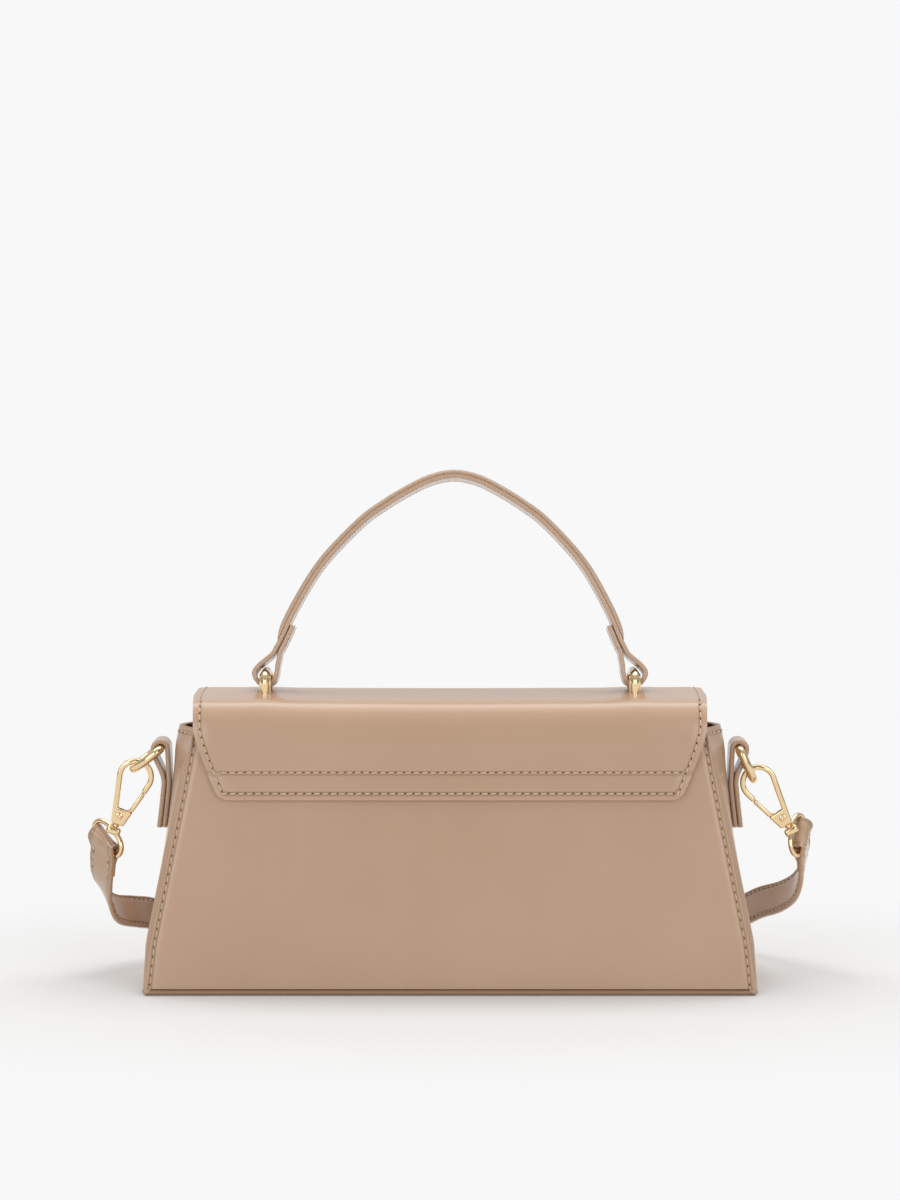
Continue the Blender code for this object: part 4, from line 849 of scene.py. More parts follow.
# Flap: two leathers glued back to back, edges painted together. Its end is sewn flat to the
# back in a closed box of stitches, and it turns over the top and down the front. The outer
# leather is drawn up where the handle's bridges go through it.
FLAP_HALF, TAIL_HALF, FRONT_HALF = 0.1130, 0.1018, 0.1080
FLAP_TAPER_TOP, FLAP_TOP_SPREAD = 0.1180, 0.0012
TAIL_FOOT, FRONT_FOOT = 0.0862, 0.0520
TAIL_CORNER, FRONT_CORNER = 0.0038, 0.0140
FLAP_LEATHER_THICKNESS, FLAP_LINING_THICKNESS = 0.0017, 0.0010
FLAP_SEAM, FLAP_PITCH = 0.0029, 0.0037
UPPER_ROW_HEIGHT = 0.0980
SEAM_PINCH, PINCH_WIDTH = 0.0003, 0.0012
BRIDGE_X, BRIDGE_LEG_Y = 0.0826, 0.0102
FLAP_ROUTE = (
    (-0.03671, 0.0862), (-0.03612, 0.0928), (-0.03552, 0.0994), (-0.03650, 0.1045),
    (-0.03750, 0.1100), (-0.03700, 0.1160), (-0.03550, 0.1216), (-0.03270, 0.1259),
    (-0.02830, 0.1292), (-0.0200, 0.1304), (0, 0.1306), (0.0200, 0.1304), (0.0280, 0.1292),
    (0.0322, 0.1259), (0.0347, 0.1216), (0.0362, 0.1160), (0.0367, 0.1094), (0.0381, 0.0951),
    (0.0395, 0.0807), (0.0409, 0.0664), (0.04227, 0.0520),
)
flap_line = [np.array(tuple(p)) for p in smooth_line([(0, y, z) for y, z in FLAP_ROUTE], 8)]
flap_steps = np.linalg.norm(np.diff(flap_line, axis=0), axis=1)
flap_travel = np.concatenate([[0], np.cumsum(flap_steps)])
FLAP_REACH = float(flap_travel[-1])


def along_flap(s):
    """The flap's middle line at a distance from its sewn end: the place, and the way out."""
    i = int(min(np.searchsorted(flap_travel, s, side="right") - 1, len(flap_steps) - 1))
    i = max(i, 0)
    share = (s - flap_travel[i]) / flap_steps[i]
    at = flap_line[i] + (flap_line[i + 1] - flap_line[i]) * share
    before = flap_line[i] - flap_line[max(i - 1, 0)]
    here = flap_line[i + 1] - flap_line[i]
    after = flap_line[min(i + 2, len(flap_line) - 1)] - flap_line[i + 1]
    before = before if before.any() else here
    after = after if after.any() else here
    way = before * (1 - share) + here + after * share
    way /= np.linalg.norm(way)
    return at, np.array((0, -way[2], way[1]))


def flap_half(s):
    """Half the flap's width at a distance from its sewn end, without its rounded corners."""
    at, _ = along_flap(s)
    if at[2] >= FLAP_TAPER_TOP:
        return FLAP_HALF + FLAP_TOP_SPREAD * max(0, min(1, (at[1] + 0.0370) / 0.0250))
    if at[1] < 0:
        share = (FLAP_TAPER_TOP - at[2]) / (FLAP_TAPER_TOP - TAIL_FOOT)
        return FLAP_HALF + (TAIL_HALF - FLAP_HALF) * share**1.25
    share = (FLAP_TAPER_TOP - at[2]) / (FLAP_TAPER_TOP - FRONT_FOOT)
    return FLAP_HALF + FLAP_TOP_SPREAD + (FRONT_HALF - FLAP_HALF - FLAP_TOP_SPREAD) * share


def corner_draw(distance, radius):
    """How much a rounded corner narrows the flap, at a distance from its end."""
    if distance >= radius:
        return 0
    return radius - math.sqrt(max(0, radius**2 - (radius - distance) ** 2))


def flap_edge(s):
    """Half the flap's width where it is cut, with its rounded corners."""
    return flap_half(s) - corner_draw(s, TAIL_CORNER) - corner_draw(FLAP_REACH - s, FRONT_CORNER)


def from_flap_edge(s, x):
    """How far a place on the flap lies inside its cut edge."""
    near_end, radius = (s, TAIL_CORNER) if s < FLAP_REACH / 2 else (FLAP_REACH - s, FRONT_CORNER)
    side = flap_half(s) - abs(x)
    if side < radius and near_end < radius:
        return radius - math.hypot(radius - side, radius - near_end)
    return min(side, near_end)


def flap_place(s, x, inset=0.0):
    """A place on the flap's outer face, or inset from it, and the way out there."""
    at, out = along_flap(s)
    draw = 0.0010 * math.exp(-(((abs(x) - BRIDGE_X) / 0.0085) ** 2)) if at[2] > 0.110 else 0
    over_top = max(0, min(1, (at[2] - 0.110) / 0.018)) * max(0, 1 - abs(at[1]) / 0.040)
    sag = 0.0006 * (1 - (x / FLAP_HALF) ** 2) * max(0, min(1, (at[2] - 0.120) / 0.009))
    swell = belly(x, min(at[2], RIM)) if at[2] < RIM else 0
    pinch = SEAM_PINCH * math.exp(-(((from_flap_edge(s, x) - FLAP_SEAM) / PINCH_WIDTH) ** 2))
    if at[1] < 0:
        pinch += SEAM_PINCH * math.exp(-(((at[2] - UPPER_ROW_HEIGHT) / PINCH_WIDTH) ** 2))
    edge_fall = 0.0004 * max(0, 1 - from_flap_edge(s, x) / FLAP_SEAM)
    lift = draw * over_top - sag - pinch - edge_fall + swell - inset
    return Vector((x, at[1] + out[1] * lift, at[2] + out[2] * lift)), Vector(tuple(out))


row_places = []
s = 0.0
while s < FLAP_REACH - 1e-6:
    row_places.append(s)
    near = min(s, FLAP_REACH - s)
    s += 0.0002 if near < 0.0004 else 0.0005 if near < 0.003 else 0.0011
row_places.append(FLAP_REACH)
FLAP_COLUMNS = 130
for name, depth, thickness, skins, cad_nodes, slot in (
    ("flap_of_bag", 0, FLAP_LEATHER_THICKNESS, [BODY_LEATHER, EDGE_PAINT, FLESH_SIDE],
     ("flap_leather", "flap_tail"), "taupe_leather"),
    ("flap_inner_leather", FLAP_LEATHER_THICKNESS + 0.0001, FLAP_LINING_THICKNESS,
     [EDGE_PAINT, EDGE_PAINT, FLESH_SIDE], ("flap_lining",), "leather_flesh_side"),
):
    rows, marks = [], []
    for s in row_places:
        half = flap_edge(s)
        xs = [half * (2 * k / FLAP_COLUMNS - 1) for k in range(FLAP_COLUMNS + 1)]
        rows.append([flap_place(s, x, depth)[0] for x in xs])
        at, _ = along_flap(s)
        from_row = abs(at[2] - UPPER_ROW_HEIGHT) if at[1] < 0 else 1
        marks.append([1000 * min(abs(from_flap_edge(s, x) - FLAP_SEAM), from_row) for x in xs])
    flap = leather_sheet(name, rows, thickness, skins, marks, edge=0.00045)
    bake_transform(flap)
    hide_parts(*cad_nodes)


upper_row = next(s for s in row_places if along_flap(s)[0][2] > UPPER_ROW_HEIGHT)


def flap_seam_lines():
    """The stitched lines on the flap, in distances along it and across it: one right round its
    edge, and one across its sewn end."""
    sides = []
    for side in (-1, 1):
        line = []
        radius = TAIL_CORNER - FLAP_SEAM
        for k in range(7):
            angle = math.pi / 2 * k / 6
            s = TAIL_CORNER - radius * math.cos(angle)
            line.append((s, side * (flap_half(TAIL_CORNER) - TAIL_CORNER + radius * math.sin(angle))))
        for k in range(1, 120):
            s = TAIL_CORNER + (FLAP_REACH - FRONT_CORNER - TAIL_CORNER) * k / 120
            line.append((s, side * (flap_half(s) - FLAP_SEAM)))
        radius = FRONT_CORNER - FLAP_SEAM
        for k in range(13):
            angle = math.pi / 2 * k / 12
            s = FLAP_REACH - FRONT_CORNER + radius * math.sin(angle)
            x = flap_half(s) - FRONT_CORNER + radius * math.cos(angle)
            line.append((s, side * x))
        sides.append(line)
    rows = []
    for s, reach in (
        (FLAP_SEAM, flap_half(0) - TAIL_CORNER),
        (FLAP_REACH - FLAP_SEAM, FRONT_HALF - FRONT_CORNER),
        (upper_row, flap_half(upper_row) - FLAP_SEAM),
    ):
        rows.append([(s, reach * (k / 40 - 1)) for k in range(1, 80)])
    left, right = sides
    return [[*reversed(left), *rows[0], *right, *reversed(rows[1])], rows[2]]


places = []
for line in flap_seam_lines():
    surface = [flap_place(s, x) for s, x in line]
    points = [at for at, _ in surface]
    outs = [out for _, out in surface]
    for at, along in resampled(points, FLAP_PITCH):
        nearest = min(range(len(points)), key=lambda i: (points[i] - at).length_squared)
        places.append((at, along, outs[nearest]))
flap_sewing = stitches("flap_stitches", places, FLAP_PITCH)
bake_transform(flap_sewing)

# Magnetic snap: two thin plated discs, one in the front panel and one under the flap, and a
# steel washer behind the panel.
def plated_gold(name, roughness):
    """Pale gold plate, polished: it mirrors the studio, softened by a faint polishing haze."""
    skin, tree, shader = shaded(name)
    where = node(tree, "ShaderNodeTexCoord").outputs["Object"]
    haze = node(tree, "ShaderNodeTexNoise", {"Scale": 220, "Detail": 2}, {"Vector": where})
    gloss = node(
        tree, "ShaderNodeMapRange",
        {"To Min": roughness * 0.8, "To Max": roughness * 1.3}, {"Value": haze.outputs["Fac"]},
    )
    tone = two_tones(tree, haze.outputs["Fac"], "#EBCB9A", "#F4DCB4")
    tree.links.new(tone, shader.inputs["Base Color"])
    tree.links.new(gloss.outputs[0], shader.inputs["Roughness"])
    shader.inputs["Metallic"].default_value = 1
    return skin


GOLD = plated_gold("polished pale gold plate", 0.10)
# Zinc-plated steel, for the hidden parts, is grey and satin with a slight mottle.
STEEL = flecked("zinc plated steel", "#A9A7A2", "#C2C0BB", 300, 3, 0.38, metallic=1)
for cad_node, skin in (("snap_socket", GOLD), ("snap_stud", GOLD), ("snap_washer", STEEL)):
    refinish(cad_node, skin)

# Bridges: half-round gold bar bent to an arch, its round side outwards, each with two legs
# through the flap. A steel plate inside the flap holds the legs.
BAR_WIDTH, BAR_THICKNESS = 0.0052, 0.0024
BAR_HEIGHT = 0.1385
BAR_CORNER = 0.0032
LEG_FOOT = 0.1291


def arch_stations(x):
    """Stations of a bridge's bar, from the foot of one leg over the top to the other."""
    points = [Vector((x, -BRIDGE_LEG_Y, LEG_FOOT))]
    for side in (-1, 1):
        for k in range(9):
            angle = math.pi / 2 * (k / 8 if side < 0 else 1 - k / 8)
            y = side * (BRIDGE_LEG_Y - BAR_CORNER + BAR_CORNER * math.cos(angle))
            points.append(Vector((x, y, BAR_HEIGHT - BAR_CORNER + BAR_CORNER * math.sin(angle))))
    points.append(Vector((x, BRIDGE_LEG_Y, LEG_FOOT)))
    return [(point, (-1, 0, 0)) for point in points]


for name, side in (("left", -1), ("right", 1)):
    section = ribbon_section(BAR_WIDTH, BAR_THICKNESS * 0.4, crown=0.0021, lip=0.0004)
    bridge = ribbon("handle_bridge_" + name, arch_stations(side * BRIDGE_X), section, 0, [GOLD])
    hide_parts("bridge_" + name)
    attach(bridge, "flap")
    refinish("bridge_plate_" + name, STEEL)

# Handle: a leather strap whose ends loop round the bridges and are sewn back on its inner
# side, and a padded cover sewn along its top. It leans back on the bridges and sways a little.
HANDLE_WIDTH = 0.0140
HANDLE_THICKNESS = 0.0020
HANDLE_LEAN = math.radians(10.5)
HANDLE_SWAY = 0.0019
ARCH_RISE = 0.0890
TAIL_RISE = 0.0220
COVER_FOOT = 0.0138
HANDLE_PITCH = 0.0034
HANDLE_INSET = 0.0016
ARCH_SHARES = (
    (0, 1), (0.125, 0.977), (0.248, 0.921), (0.378, 0.846), (0.504, 0.755), (0.699, 0.557),
    (0.837, 0.343), (0.919, 0.175), (0.946, 0.125),
)
LOOP_SHARES = (
    (-0.62, 1.80), (-0.15, 1.35), (0.60, 0.68), (1, 0), (0.72, -0.72), (0, -1),
    (-0.72, -0.72), (-1, 0), (-1.08, 0.75),
)
loop_side = BAR_WIDTH / 2 + 0.0014 + HANDLE_THICKNESS / 2
loop_low = BAR_THICKNESS / 2 + 0.0026 + HANDLE_THICKNESS / 2
arch_points = [Vector((x * BRIDGE_X, 0, z * ARCH_RISE)) for x, z in ARCH_SHARES]
loop_points = [Vector((BRIDGE_X + x * loop_side, 0, z * loop_low)) for x, z in LOOP_SHARES]
before_top = Vector((-arch_points[1].x, 0, arch_points[1].z))
HANDLE_STEPS = 8
half_line = smooth_line([before_top, *arch_points, *loop_points], HANDLE_STEPS)[HANDLE_STEPS:]
arch_part = half_line[: (len(ARCH_SHARES) - 1) * HANDLE_STEPS + 1]


def moved_outward(line, distances):
    """The line moved square to its run, away from the middle of the arch."""
    moved = []
    for i, (point, distance) in enumerate(zip(line, distances)):
        run = (line[min(i + 1, len(line) - 1)] - line[max(i - 1, 0)]).normalized()
        moved.append(point + Vector((-run.z, 0, run.x)) * distance)
    return moved


def leaned(line):
    """Stations of the handle in their place: swayed to one side, and leaned back."""
    lean = Matrix.Rotation(-HANDLE_LEAN, 3, "X")
    across = lean @ Vector((0, 1, 0))
    stations = []
    for point in line:
        sway = HANDLE_SWAY * max(0, min(1, point.z / ARCH_RISE))
        swayed = Vector((point.x + sway, point.y, point.z))
        stations.append((lean @ swayed + Vector((0, 0, BAR_HEIGHT)), across))
    return stations


def both_halves(right):
    """A line from the arch's top down its right side, with its mirror image before it."""
    return [*[Vector((-p.x, p.y, p.z)) for p in reversed(right[1:])], *right]


inner_side = moved_outward(arch_part, [-HANDLE_THICKNESS - 0.0004] * len(arch_part))
tail_part = [p for p in inner_side if p.z < TAIL_RISE]
strap_line = both_halves([*half_line, *reversed(tail_part)])
strap_stations = leaned(strap_line)
HANDLE_LEATHER = leather("smooth handle leather", "#B59376", "#C3A287", 0.34, grain=0.12, coat=0.8)
handle_section = ribbon_section(HANDLE_WIDTH, HANDLE_THICKNESS, lip=0.0005)
handle = ribbon(
    "handle_of_bag", strap_stations, handle_section, HANDLE_INSET * 1000, [HANDLE_LEATHER]
)
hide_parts("handle_strap")
cover_part = [p for p in arch_part if p.z > COVER_FOOT]
COVER_THICKNESS = 0.0013
COVER_CROWN = 0.0010
cover_middle = both_halves(cover_part)
count = len(cover_middle)
ends = [math.sin(math.pi / 2 * min(1, 0.14 + 0.17 * min(i, count - 1 - i))) for i in range(count)]
cover_lift = [(HANDLE_THICKNESS + COVER_THICKNESS * size) / 2 for size in ends]
cover_line = moved_outward(cover_middle, cover_lift)
cover_stations = leaned(cover_line)
cover = ribbon(
    "handle_padding", cover_stations,
    ribbon_section(HANDLE_WIDTH, COVER_THICKNESS, crown=COVER_CROWN, lip=0.0004),
    HANDLE_INSET * 1000, [HANDLE_LEATHER], sizes=ends,
)
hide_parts("handle_cover")
under = leaned([p for p in both_halves(arch_part) if p.z > TAIL_RISE])
under_rows = ribbon_stitches(under, HANDLE_WIDTH, HANDLE_THICKNESS, HANDLE_INSET, HANDLE_PITCH, (-1,))
for end in (-1, 1):
    tail = leaned([Vector((end * p.x, p.y, p.z)) for p in tail_part])
    tail = tail if end > 0 else tail[::-1]
    under_rows += ribbon_stitches(
        tail, HANDLE_WIDTH, HANDLE_THICKNESS, HANDLE_INSET, HANDLE_PITCH, (-1,)
    )
handle_sewing = stitches("handle_stitches", under_rows, HANDLE_PITCH, hidden=1)
for piece in (handle, cover, handle_sewing):
    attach(piece, "handle")

# Side tabs: a strip of two leathers folded over the ring's straight bar and sewn through both
# its layers to the middle of the gusset.
TAB_WIDTH, TAB_THICKNESS = 0.0150, 0.0021
TAB_FOOT, TAB_LOOP = 0.0700, 0.1053
TAB_CLOSE = 0.0890
TAB_INSET, TAB_PITCH, TAB_ROW_HALF = 0.0017, 0.0034, 0.0055
RING_BAR_X = 0.1298
RING_WIRE = 0.0019
tab_loop_radius = RING_WIRE + 0.0003 + TAB_THICKNESS / 2
TAB_LEATHER = leather("folded tab leather", "#B39175", "#C09F83", 0.34, coat=0.8)


def tab_x(z, layer):
    """How far out the middle of the tab's inner (0) or outer (1) layer lies at a height."""
    return gusset_reach(z, 0) + SEAM_GAP + TAB_THICKNESS / 2 + layer * (TAB_THICKNESS + 0.0002)


inner_run = [Vector((tab_x(z, 0), 0, z)) for z in np.linspace(TAB_FOOT, TAB_CLOSE, 12)]
outer_run = [Vector((tab_x(z, 1), 0, z)) for z in np.linspace(TAB_CLOSE, TAB_FOOT, 12)]
loop_run = []
for k in range(17):
    angle = math.pi * (1 - k / 16)
    loop_run.append(
        Vector(
            (
                RING_BAR_X + tab_loop_radius * math.cos(angle), 0,
                TAB_LOOP + tab_loop_radius * math.sin(angle),
            )
        )
    )
rise_part = smooth_line([inner_run[-2], inner_run[-1], loop_run[0], loop_run[1]], 8)[9:16]
fall_part = []
for k in range(1, 12):
    share = k / 12
    close = 3 * share**2 - 2 * share**3
    z = TAB_LOOP + (TAB_CLOSE - TAB_LOOP) * share
    fall_part.append(Vector((loop_run[-1].x * (1 - close) + tab_x(z, 1) * close, 0, z)))


def mirrored(line, side):
    """Stations of a strip that lies flat against one end of the bag."""
    return [(Vector((side * p.x, p.y, p.z)), (0, 1, 0)) for p in line]


for name, side in (("left", -1), ("right", 1)):
    stations = mirrored([*inner_run, *rise_part, *loop_run, *fall_part, *outer_run], side)
    section = ribbon_section(TAB_WIDTH, TAB_THICKNESS, lip=0.0007)
    tab = ribbon("side_tab_" + name, stations, section, TAB_INSET * 1000, [TAB_LEATHER])
    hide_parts("tab_" + name)
    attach(tab, "bag")
    sewn = mirrored([*fall_part[8:], *outer_run[:-1]], side)
    places = ribbon_stitches(sewn, TAB_WIDTH, TAB_THICKNESS, TAB_INSET, TAB_PITCH, (side,))
    z = TAB_FOOT + 0.0020
    x = side * (tab_x(z, 1) + TAB_THICKNESS / 2)
    foot_row = [Vector((x, y, z)) for y in np.linspace(-TAB_ROW_HALF, TAB_ROW_HALF, 9)]
    places += seam_along(foot_row, (side, 0, 0), TAB_PITCH)
    sewing = stitches("side_tab_stitches_" + name, places, TAB_PITCH, hidden=0.9)
    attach(sewing, "bag")

# Side rings: round gold wire bent to a D and brazed shut. The straight bar lies in the tab.
RING_REACH = 0.0160
RING_HALF = TAB_WIDTH / 2 + 0.0009 + RING_WIRE
RING_DROPS = {-1: math.radians(37.5), 1: math.radians(65.5)}


def d_shape(half_bar, reach, corner, squareness=1.0):
    """A D, from the middle of its bar on x = 0 round to its crown at x = reach and back."""
    points = [(0, y) for y in np.linspace(0, half_bar - corner, 6)]
    for k in range(1, 7):
        angle = math.pi - math.pi / 2 * k / 6
        points.append(
            (corner + corner * math.cos(angle), half_bar - corner + corner * math.sin(angle))
        )
    flat = max(corner, reach - half_bar)
    for k in range(25):
        angle = math.pi / 2 * (1 - k / 24)
        aside = math.sin(angle) ** squareness
        points.append((flat + (reach - flat) * math.cos(angle) ** squareness, half_bar * aside))
    return [*points, *[(x, -y) for x, y in reversed(points[1:-1])]]


def wire(name, line, radius, facing, skins):
    """Round wire along a closed flat line whose plane faces one way."""
    facing = Vector(facing).normalized()
    sides = 20

    def build(shape):
        count = len(line)
        rings = []
        for i, point in enumerate(line):
            run = (line[(i + 1) % count] - line[i - 1]).normalized()
            out = run.cross(facing)
            rings.append(
                [
                    shape.verts.new(
                        point
                        + out * radius * math.cos(2 * math.pi * k / sides)
                        + facing * radius * math.sin(2 * math.pi * k / sides)
                    )
                    for k in range(sides)
                ]
            )
        walls_between(shape, [*rings, rings[0]])
        bmesh.ops.recalc_face_normals(shape, faces=shape.faces)

    return mesh_piece(name, build, skins)


for name, side in (("left", -1), ("right", 1)):
    bar = Vector((side * RING_BAR_X, 0, TAB_LOOP))
    drop = RING_DROPS[side]
    down = Vector((side * math.cos(drop), 0, -math.sin(drop)))
    line = [bar + down * x + Vector((0, y, 0)) for x, y in d_shape(RING_HALF, RING_REACH, 0.0030)]
    ring = wire("side_ring_" + name, line, RING_WIRE, down.cross((0, 1, 0)), [GOLD])
    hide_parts("ring_" + name)
    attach(ring, "ring_" + name)

# Snap hooks: a cast pear-shaped frame, a gate on a rivet in the slot of its foot, closed by a
# small coil spring, and below the foot a swivel ring whose pin turns in it.
HOOK_LENGTH, HOOK_DEPTH = 0.0276, 0.0036
BOW_RADIUS, BOW_OFFSET = 0.00835, 0.00045
HOOK_BAR, HOOK_FLARE = 0.0025, math.radians(13.8)
BLOCK_TOP, BLOCK_FOOT = 0.0033, 0.0039
GATE_BAR, GATE_DEPTH = 0.0020, 0.0032
RIVETS = {-1: Vector((-0.149047, 0, 0.074227)), 1: Vector((0.149914, 0, 0.07346))}
HOOK_TURNS = {-1: math.radians(21.5), 1: math.radians(-33.5)}
SWIVEL_HALF, SWIVEL_REACH, SWIVEL_CORNER, SWIVEL_SQUARENESS = 0.0096, 0.0078, 0.0022, 0.85
SADDLE_DROP, SADDLE_SIZE, SADDLE_SOFTNESS = 0.0033, (0.0066, 0.0042, 0.0036), 0.0013
SLOT_NEAR, SLOT_FAR, SLOT_HALF, SLOT_FOOT = -0.0021, 0.0085, 0.0011, -0.0022
bow_centre = Vector((BOW_OFFSET, 0, HOOK_LENGTH - BOW_RADIUS))


def hook_side(height, inset, side):
    """A point on the frame's straight side, at a height above the rivet."""
    touch = (BOW_RADIUS - inset) / math.cos(HOOK_FLARE)
    x = bow_centre.x + side * (touch - (bow_centre.z - height) * math.tan(HOOK_FLARE))
    return Vector((x, 0, height))


def side_height(distance, inset):
    """The height at which the gate's side lies that far from the rivet."""
    lean, foot = math.tan(HOOK_FLARE), hook_side(0, inset, 1).x
    spread = 1 + lean**2
    return (math.sqrt(foot**2 * lean**2 - spread * (foot**2 - distance**2)) - foot * lean) / spread


def bow(radius, start, end, steps=36):
    """Points on the round top of the hook, from one angle to another."""
    angles = [start + (end - start) * k / steps for k in range(steps + 1)]
    return [bow_centre + radius * Vector((math.cos(a), 0, math.sin(a))) for a in angles]


def cast_plate(name, outline, depth, side, softness, slot=None, shift=0.0):
    """A flat casting in the hook's own plane, extruded and with soft edges, set in its place."""
    points = [Vector((-side * p.x, shift - depth / 2, p.z)) for p in outline]

    def build(shape):
        face = shape.faces.new([shape.verts.new(p) for p in points])
        grown = bmesh.ops.extrude_face_region(shape, geom=[face])
        moved = [v for v in grown["geom"] if isinstance(v, bmesh.types.BMVert)]
        bmesh.ops.translate(shape, verts=moved, vec=(0, depth, 0))
        bmesh.ops.recalc_face_normals(shape, faces=shape.faces)

    obj = mesh_piece(name, build, [GOLD])
    pick(obj)
    soft = obj.modifiers.new("soft edges", "BEVEL")
    soft.width, soft.segments = softness, 4
    soft.angle_limit = math.radians(40)
    bpy.ops.object.modifier_apply(modifier=soft.name)
    if slot:
        low, high = slot
        bpy.ops.object.select_all(action="DESELECT")
        bpy.ops.mesh.primitive_cube_add(size=1, location=tuple((Vector(low) + Vector(high)) / 2))
        cutter = bpy.context.object
        cutter.scale = tuple(b - a for a, b in zip(low, high))
        bpy.ops.object.transform_apply(location=True, rotation=True, scale=True)
        pick(obj)
        cut = obj.modifiers.new("slot", "BOOLEAN")
        cut.operation, cut.object = "DIFFERENCE", cutter
        bpy.ops.object.modifier_apply(modifier=cut.name)
        bpy.data.objects.remove(cutter, do_unlink=True)
    obj.data.transform(Matrix.Translation(RIVETS[side]) @ Matrix.Rotation(HOOK_TURNS[side], 4, "Y"))
    obj.data.shade_smooth()
    obj.data.set_sharp_from_angle(angle=math.radians(35))
    return obj


def turned_piece(name, profile, place, skins, sides=36):
    """A piece turned about its own Z, from (radius, height) points, then set in its place."""

    def build(shape):
        rings = []
        for radius, height in profile:
            rings.append(
                [
                    shape.verts.new(
                        (
                            radius * math.cos(2 * math.pi * k / sides),
                            radius * math.sin(2 * math.pi * k / sides),
                            height,
                        )
                    )
                    for k in range(sides)
                ]
            )
        walls_between(shape, rings)
        shape.faces.new(list(reversed(rings[0])))
        shape.faces.new(rings[-1])
        bmesh.ops.transform(shape, matrix=place, verts=shape.verts)
        bmesh.ops.recalc_face_normals(shape, faces=shape.faces)

    return mesh_piece(name, build, skins)


notch_reach = hook_side(HOOK_LENGTH * 0.5, HOOK_BAR / 2, 1).length
arc_right, arc_left = -HOOK_FLARE, math.pi + HOOK_FLARE
frame_outline = [
    hook_side(-BLOCK_FOOT, 0, -1),
    *reversed(bow(BOW_RADIUS, arc_right, arc_left)),
    hook_side(side_height(notch_reach, 0), 0, 1),
    hook_side(side_height(notch_reach, HOOK_BAR), HOOK_BAR, 1),
    *bow(BOW_RADIUS - HOOK_BAR, arc_right, arc_left),
    hook_side(BLOCK_TOP, HOOK_BAR, -1),
    hook_side(BLOCK_TOP, 0, 1),
    hook_side(-BLOCK_FOOT, 0, 1),
]
gate_reach = notch_reach - 0.0003
gate_low = BLOCK_TOP + 0.0003
gate_outline = [
    hook_side(gate_low, 0, 1),
    hook_side(side_height(gate_reach, 0), 0, 1),
    hook_side(side_height(gate_reach, GATE_BAR), GATE_BAR, 1),
    hook_side(gate_low, GATE_BAR, 1),
]
RIVET_HEAD = 0.0017
head_profile = (
    (0.0002, 0.00070), (0.00045, 0.00078), (0.00075, 0.00078), (0.00085, 0.00060),
    (0.00095, 0.00060), (0.00105, 0.00076), (0.00140, 0.00070), (RIVET_HEAD, 0.00048), (0.0015, 0),
)
for name, side in (("left", -1), ("right", 1)):
    place = Matrix.Translation(RIVETS[side]) @ Matrix.Rotation(HOOK_TURNS[side], 4, "Y")
    slot_low = (min(-side * SLOT_NEAR, -side * SLOT_FAR), -SLOT_HALF, SLOT_FOOT)
    slot_high = (max(-side * SLOT_NEAR, -side * SLOT_FAR), SLOT_HALF, BLOCK_TOP + 0.0002)
    frame_piece = cast_plate(
        "snap_hook_" + name, frame_outline, HOOK_DEPTH, side, 0.0007, slot=(slot_low, slot_high)
    )
    gate_arm = cast_plate("snap_hook_gate_" + name, gate_outline, GATE_DEPTH, side, 0.0006)
    tongue = cast_plate(
        "gate_tongue_" + name,
        [
            hook_side(BLOCK_TOP + 0.0012, GATE_BAR / 2, 1),
            hook_side(BLOCK_TOP + 0.0012, GATE_BAR, 1),
            *[
                0.0018 * Vector((math.cos(a), 0, math.sin(a)))
                for a in np.linspace(math.radians(112), math.radians(324), 17)
            ],
            hook_side(BLOCK_TOP, GATE_BAR / 2, 1),
        ],
        0.0008, side, 0.0001, shift=-0.0006,
    )
    pick(gate_arm, tongue)
    bpy.ops.object.join()
    reach = HOOK_DEPTH / 2
    profile = [(r, -reach - h) for r, h in head_profile] + [(0.0008, -reach), (0.0008, reach)]
    profile += [(r, reach + h) for r, h in reversed(head_profile)]
    rivet = turned_piece(
        "hook_rivet_head_" + name, profile, place @ Matrix.Rotation(math.pi / 2, 4, "X"), [GOLD]
    )
    bar, across, toward = (Vector(v) for v in STRAP_ENDS[name][:3])
    across, toward = across.normalized(), toward.normalized()
    loop = d_shape(SWIVEL_HALF, SWIVEL_REACH, SWIVEL_CORNER, SWIVEL_SQUARENESS)
    line = [bar + toward * x + across * y for x, y in loop]
    swivel = wire("swivel_wire_" + name, line, SWIVEL_WIRE, across.cross(toward), [GOLD])
    bpy.ops.object.select_all(action="DESELECT")
    bpy.ops.mesh.primitive_cube_add(size=1, location=(0, 0, -BLOCK_FOOT - SADDLE_DROP))
    saddle = bpy.context.object
    saddle.scale = SADDLE_SIZE
    bpy.ops.object.transform_apply(location=True, rotation=True, scale=True)
    soft = saddle.modifiers.new("soft edges", "BEVEL")
    soft.width, soft.segments = SADDLE_SOFTNESS, 5
    bpy.ops.object.modifier_apply(modifier=soft.name)
    saddle.data.transform(place)
    saddle.data.shade_smooth()
    saddle.data.materials.append(GOLD)
    collar = (
        (0.0010, -0.0062), (0.0010, -0.0050), (0.0017, -0.0049), (0.0017, -0.0042),
        (0.0010, -0.0041), (0.0010, -0.0018),
    )
    pin = turned_piece("swivel_pin_piece_" + name, collar, place, [GOLD], sides=24)
    pick(swivel, saddle, pin)
    bpy.ops.object.join()
    for piece, cad_node, body in (
        (frame_piece, "hook_frame_", "hook_"), (gate_arm, "hook_gate_", "gate_"),
        (rivet, "hook_rivet_", "hook_"), (swivel, "swivel_ring_", "swivel_"),
    ):
        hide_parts(cad_node + name)
        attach(piece, body + name)
    refinish("gate_spring_" + name, STEEL)

# Floor and light: a matt pale floor under soft overhead light, as in a product photograph. The
# floor shows paler to the camera than it is, so that only the bag's shadow stands out.
PALE = 0.939
GROUND_NARROW = (0.55, 1, 1)


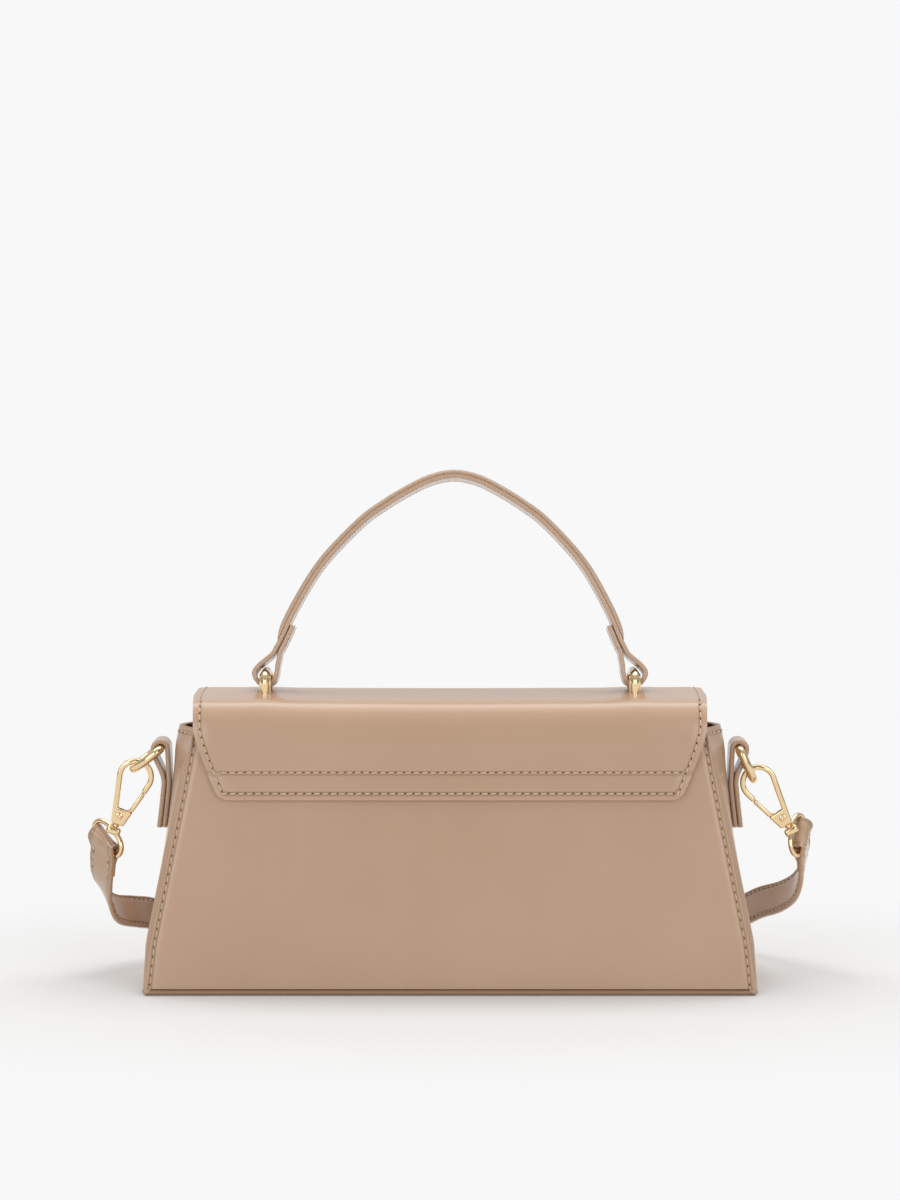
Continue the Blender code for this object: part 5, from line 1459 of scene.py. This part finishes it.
def pale_ground(name):
    """Matt paper. Near the bag it shows its shadow, and further off it reads as even pale."""
    skin, tree, shader = shaded(name)
    tree.nodes.remove(shader)
    light = node(tree, "ShaderNodeLightPath")
    seen = node(
        tree, "ShaderNodeMath", {"operation": "MAXIMUM"},
        {0: light.outputs["Is Camera Ray"], 1: light.outputs["Is Glossy Ray"]},
    )
    where = node(tree, "ShaderNodeTexCoord").outputs["Object"]
    drawn_in = node(
        tree, "ShaderNodeVectorMath", {"operation": "MULTIPLY", 1: GROUND_NARROW}, {0: where}
    )
    away = node(tree, "ShaderNodeVectorMath", {"operation": "LENGTH"}, {0: drawn_in.outputs[0]})
    far = node(
        tree, "ShaderNodeMapRange",
        {"interpolation_type": "SMOOTHSTEP", "From Min": 0.10, "From Max": 0.26},
        {"Value": away.outputs["Value"]},
    )
    matt = node(tree, "ShaderNodeBsdfDiffuse", {"Color": (0.78, 0.78, 0.775, 1)})
    even = node(tree, "ShaderNodeEmission", {"Color": (1, 1, 1, 1), "Strength": PALE})
    shown = node(
        tree, "ShaderNodeMixShader",
        links={0: far.outputs[0], 1: matt.outputs[0], 2: even.outputs[0]},
    )
    both = node(
        tree, "ShaderNodeMixShader",
        links={0: seen.outputs[0], 1: matt.outputs[0], 2: shown.outputs[0]},
    )
    tree.links.new(both.outputs[0], tree.nodes["Material Output"].inputs["Surface"])
    return skin


bpy.ops.object.select_all(action="DESELECT")
bpy.ops.mesh.primitive_plane_add(size=60, location=(0, 0, 0))
ground = bpy.context.object
ground.name = "floor"
ground.data.materials.append(pale_ground("matt white paper"))

world = bpy.data.worlds.new("studio")
bpy.context.scene.world = world
world.use_nodes = True
sky = world.node_tree
rays = node(sky, "ShaderNodeLightPath")
towards = node(sky, "ShaderNodeTexCoord").outputs["Generated"]
height = node(sky, "ShaderNodeSeparateXYZ", links={"Vector": towards})
overhead = node(
    sky, "ShaderNodeMapRange", {"From Max": 0.9, "To Min": 0.30, "To Max": 0.66},
    {"Value": height.outputs["Z"]},
)
camera_side = node(
    sky, "ShaderNodeMapRange",
    {
        "interpolation_type": "SMOOTHSTEP",
        "From Min": -1.0, "From Max": -0.45, "To Min": 0.62, "To Max": 1.0,
    },
    {"Value": height.outputs["Y"]},
)
backdrop = node(
    sky, "ShaderNodeMapRange",
    {
        "interpolation_type": "SMOOTHSTEP",
        "From Min": 0.25, "From Max": 0.85, "To Min": 0.0, "To Max": 0.28,
    },
    {"Value": height.outputs["Y"]},
)
soft_room = node(
    sky, "ShaderNodeMath", {"operation": "MULTIPLY_ADD"},
    {0: overhead.outputs[0], 1: camera_side.outputs[0], 2: backdrop.outputs[0]},
)
strength = node(
    sky, "ShaderNodeMapRange", {"To Max": PALE},
    {"Value": rays.outputs["Is Camera Ray"], "To Min": soft_room.outputs[0]},
)
sky.links.new(strength.outputs[0], sky.nodes["Background"].inputs["Strength"])
sky.nodes["Background"].inputs["Color"].default_value = (1, 1, 1, 1)


def softbox(name, at, aim, size, power):
    """A rectangular soft light, turned to face a point."""
    bpy.ops.object.light_add(type="AREA", location=at)
    lamp = bpy.context.object
    lamp.name = name
    lamp.data.shape = "RECTANGLE"
    lamp.data.size, lamp.data.size_y = size
    lamp.data.energy = power
    lamp.rotation_mode = "QUATERNION"
    lamp.rotation_quaternion = (Vector(aim) - Vector(at)).to_track_quat("-Z", "Y")


softbox("top_light", (0, 0.22, 1.5), (0, 0, 0.08), (2.0, 0.7), 14)
softbox("front_left_light", (-0.9, -1.75, 0.62), (0, 0, 0.1), (1.0, 1.0), 8.6)
softbox("front_right_light", (0.9, -1.75, 0.62), (0, 0, 0.1), (1.0, 1.0), 7.8)
bpy.context.scene.view_settings.view_transform = "Standard"
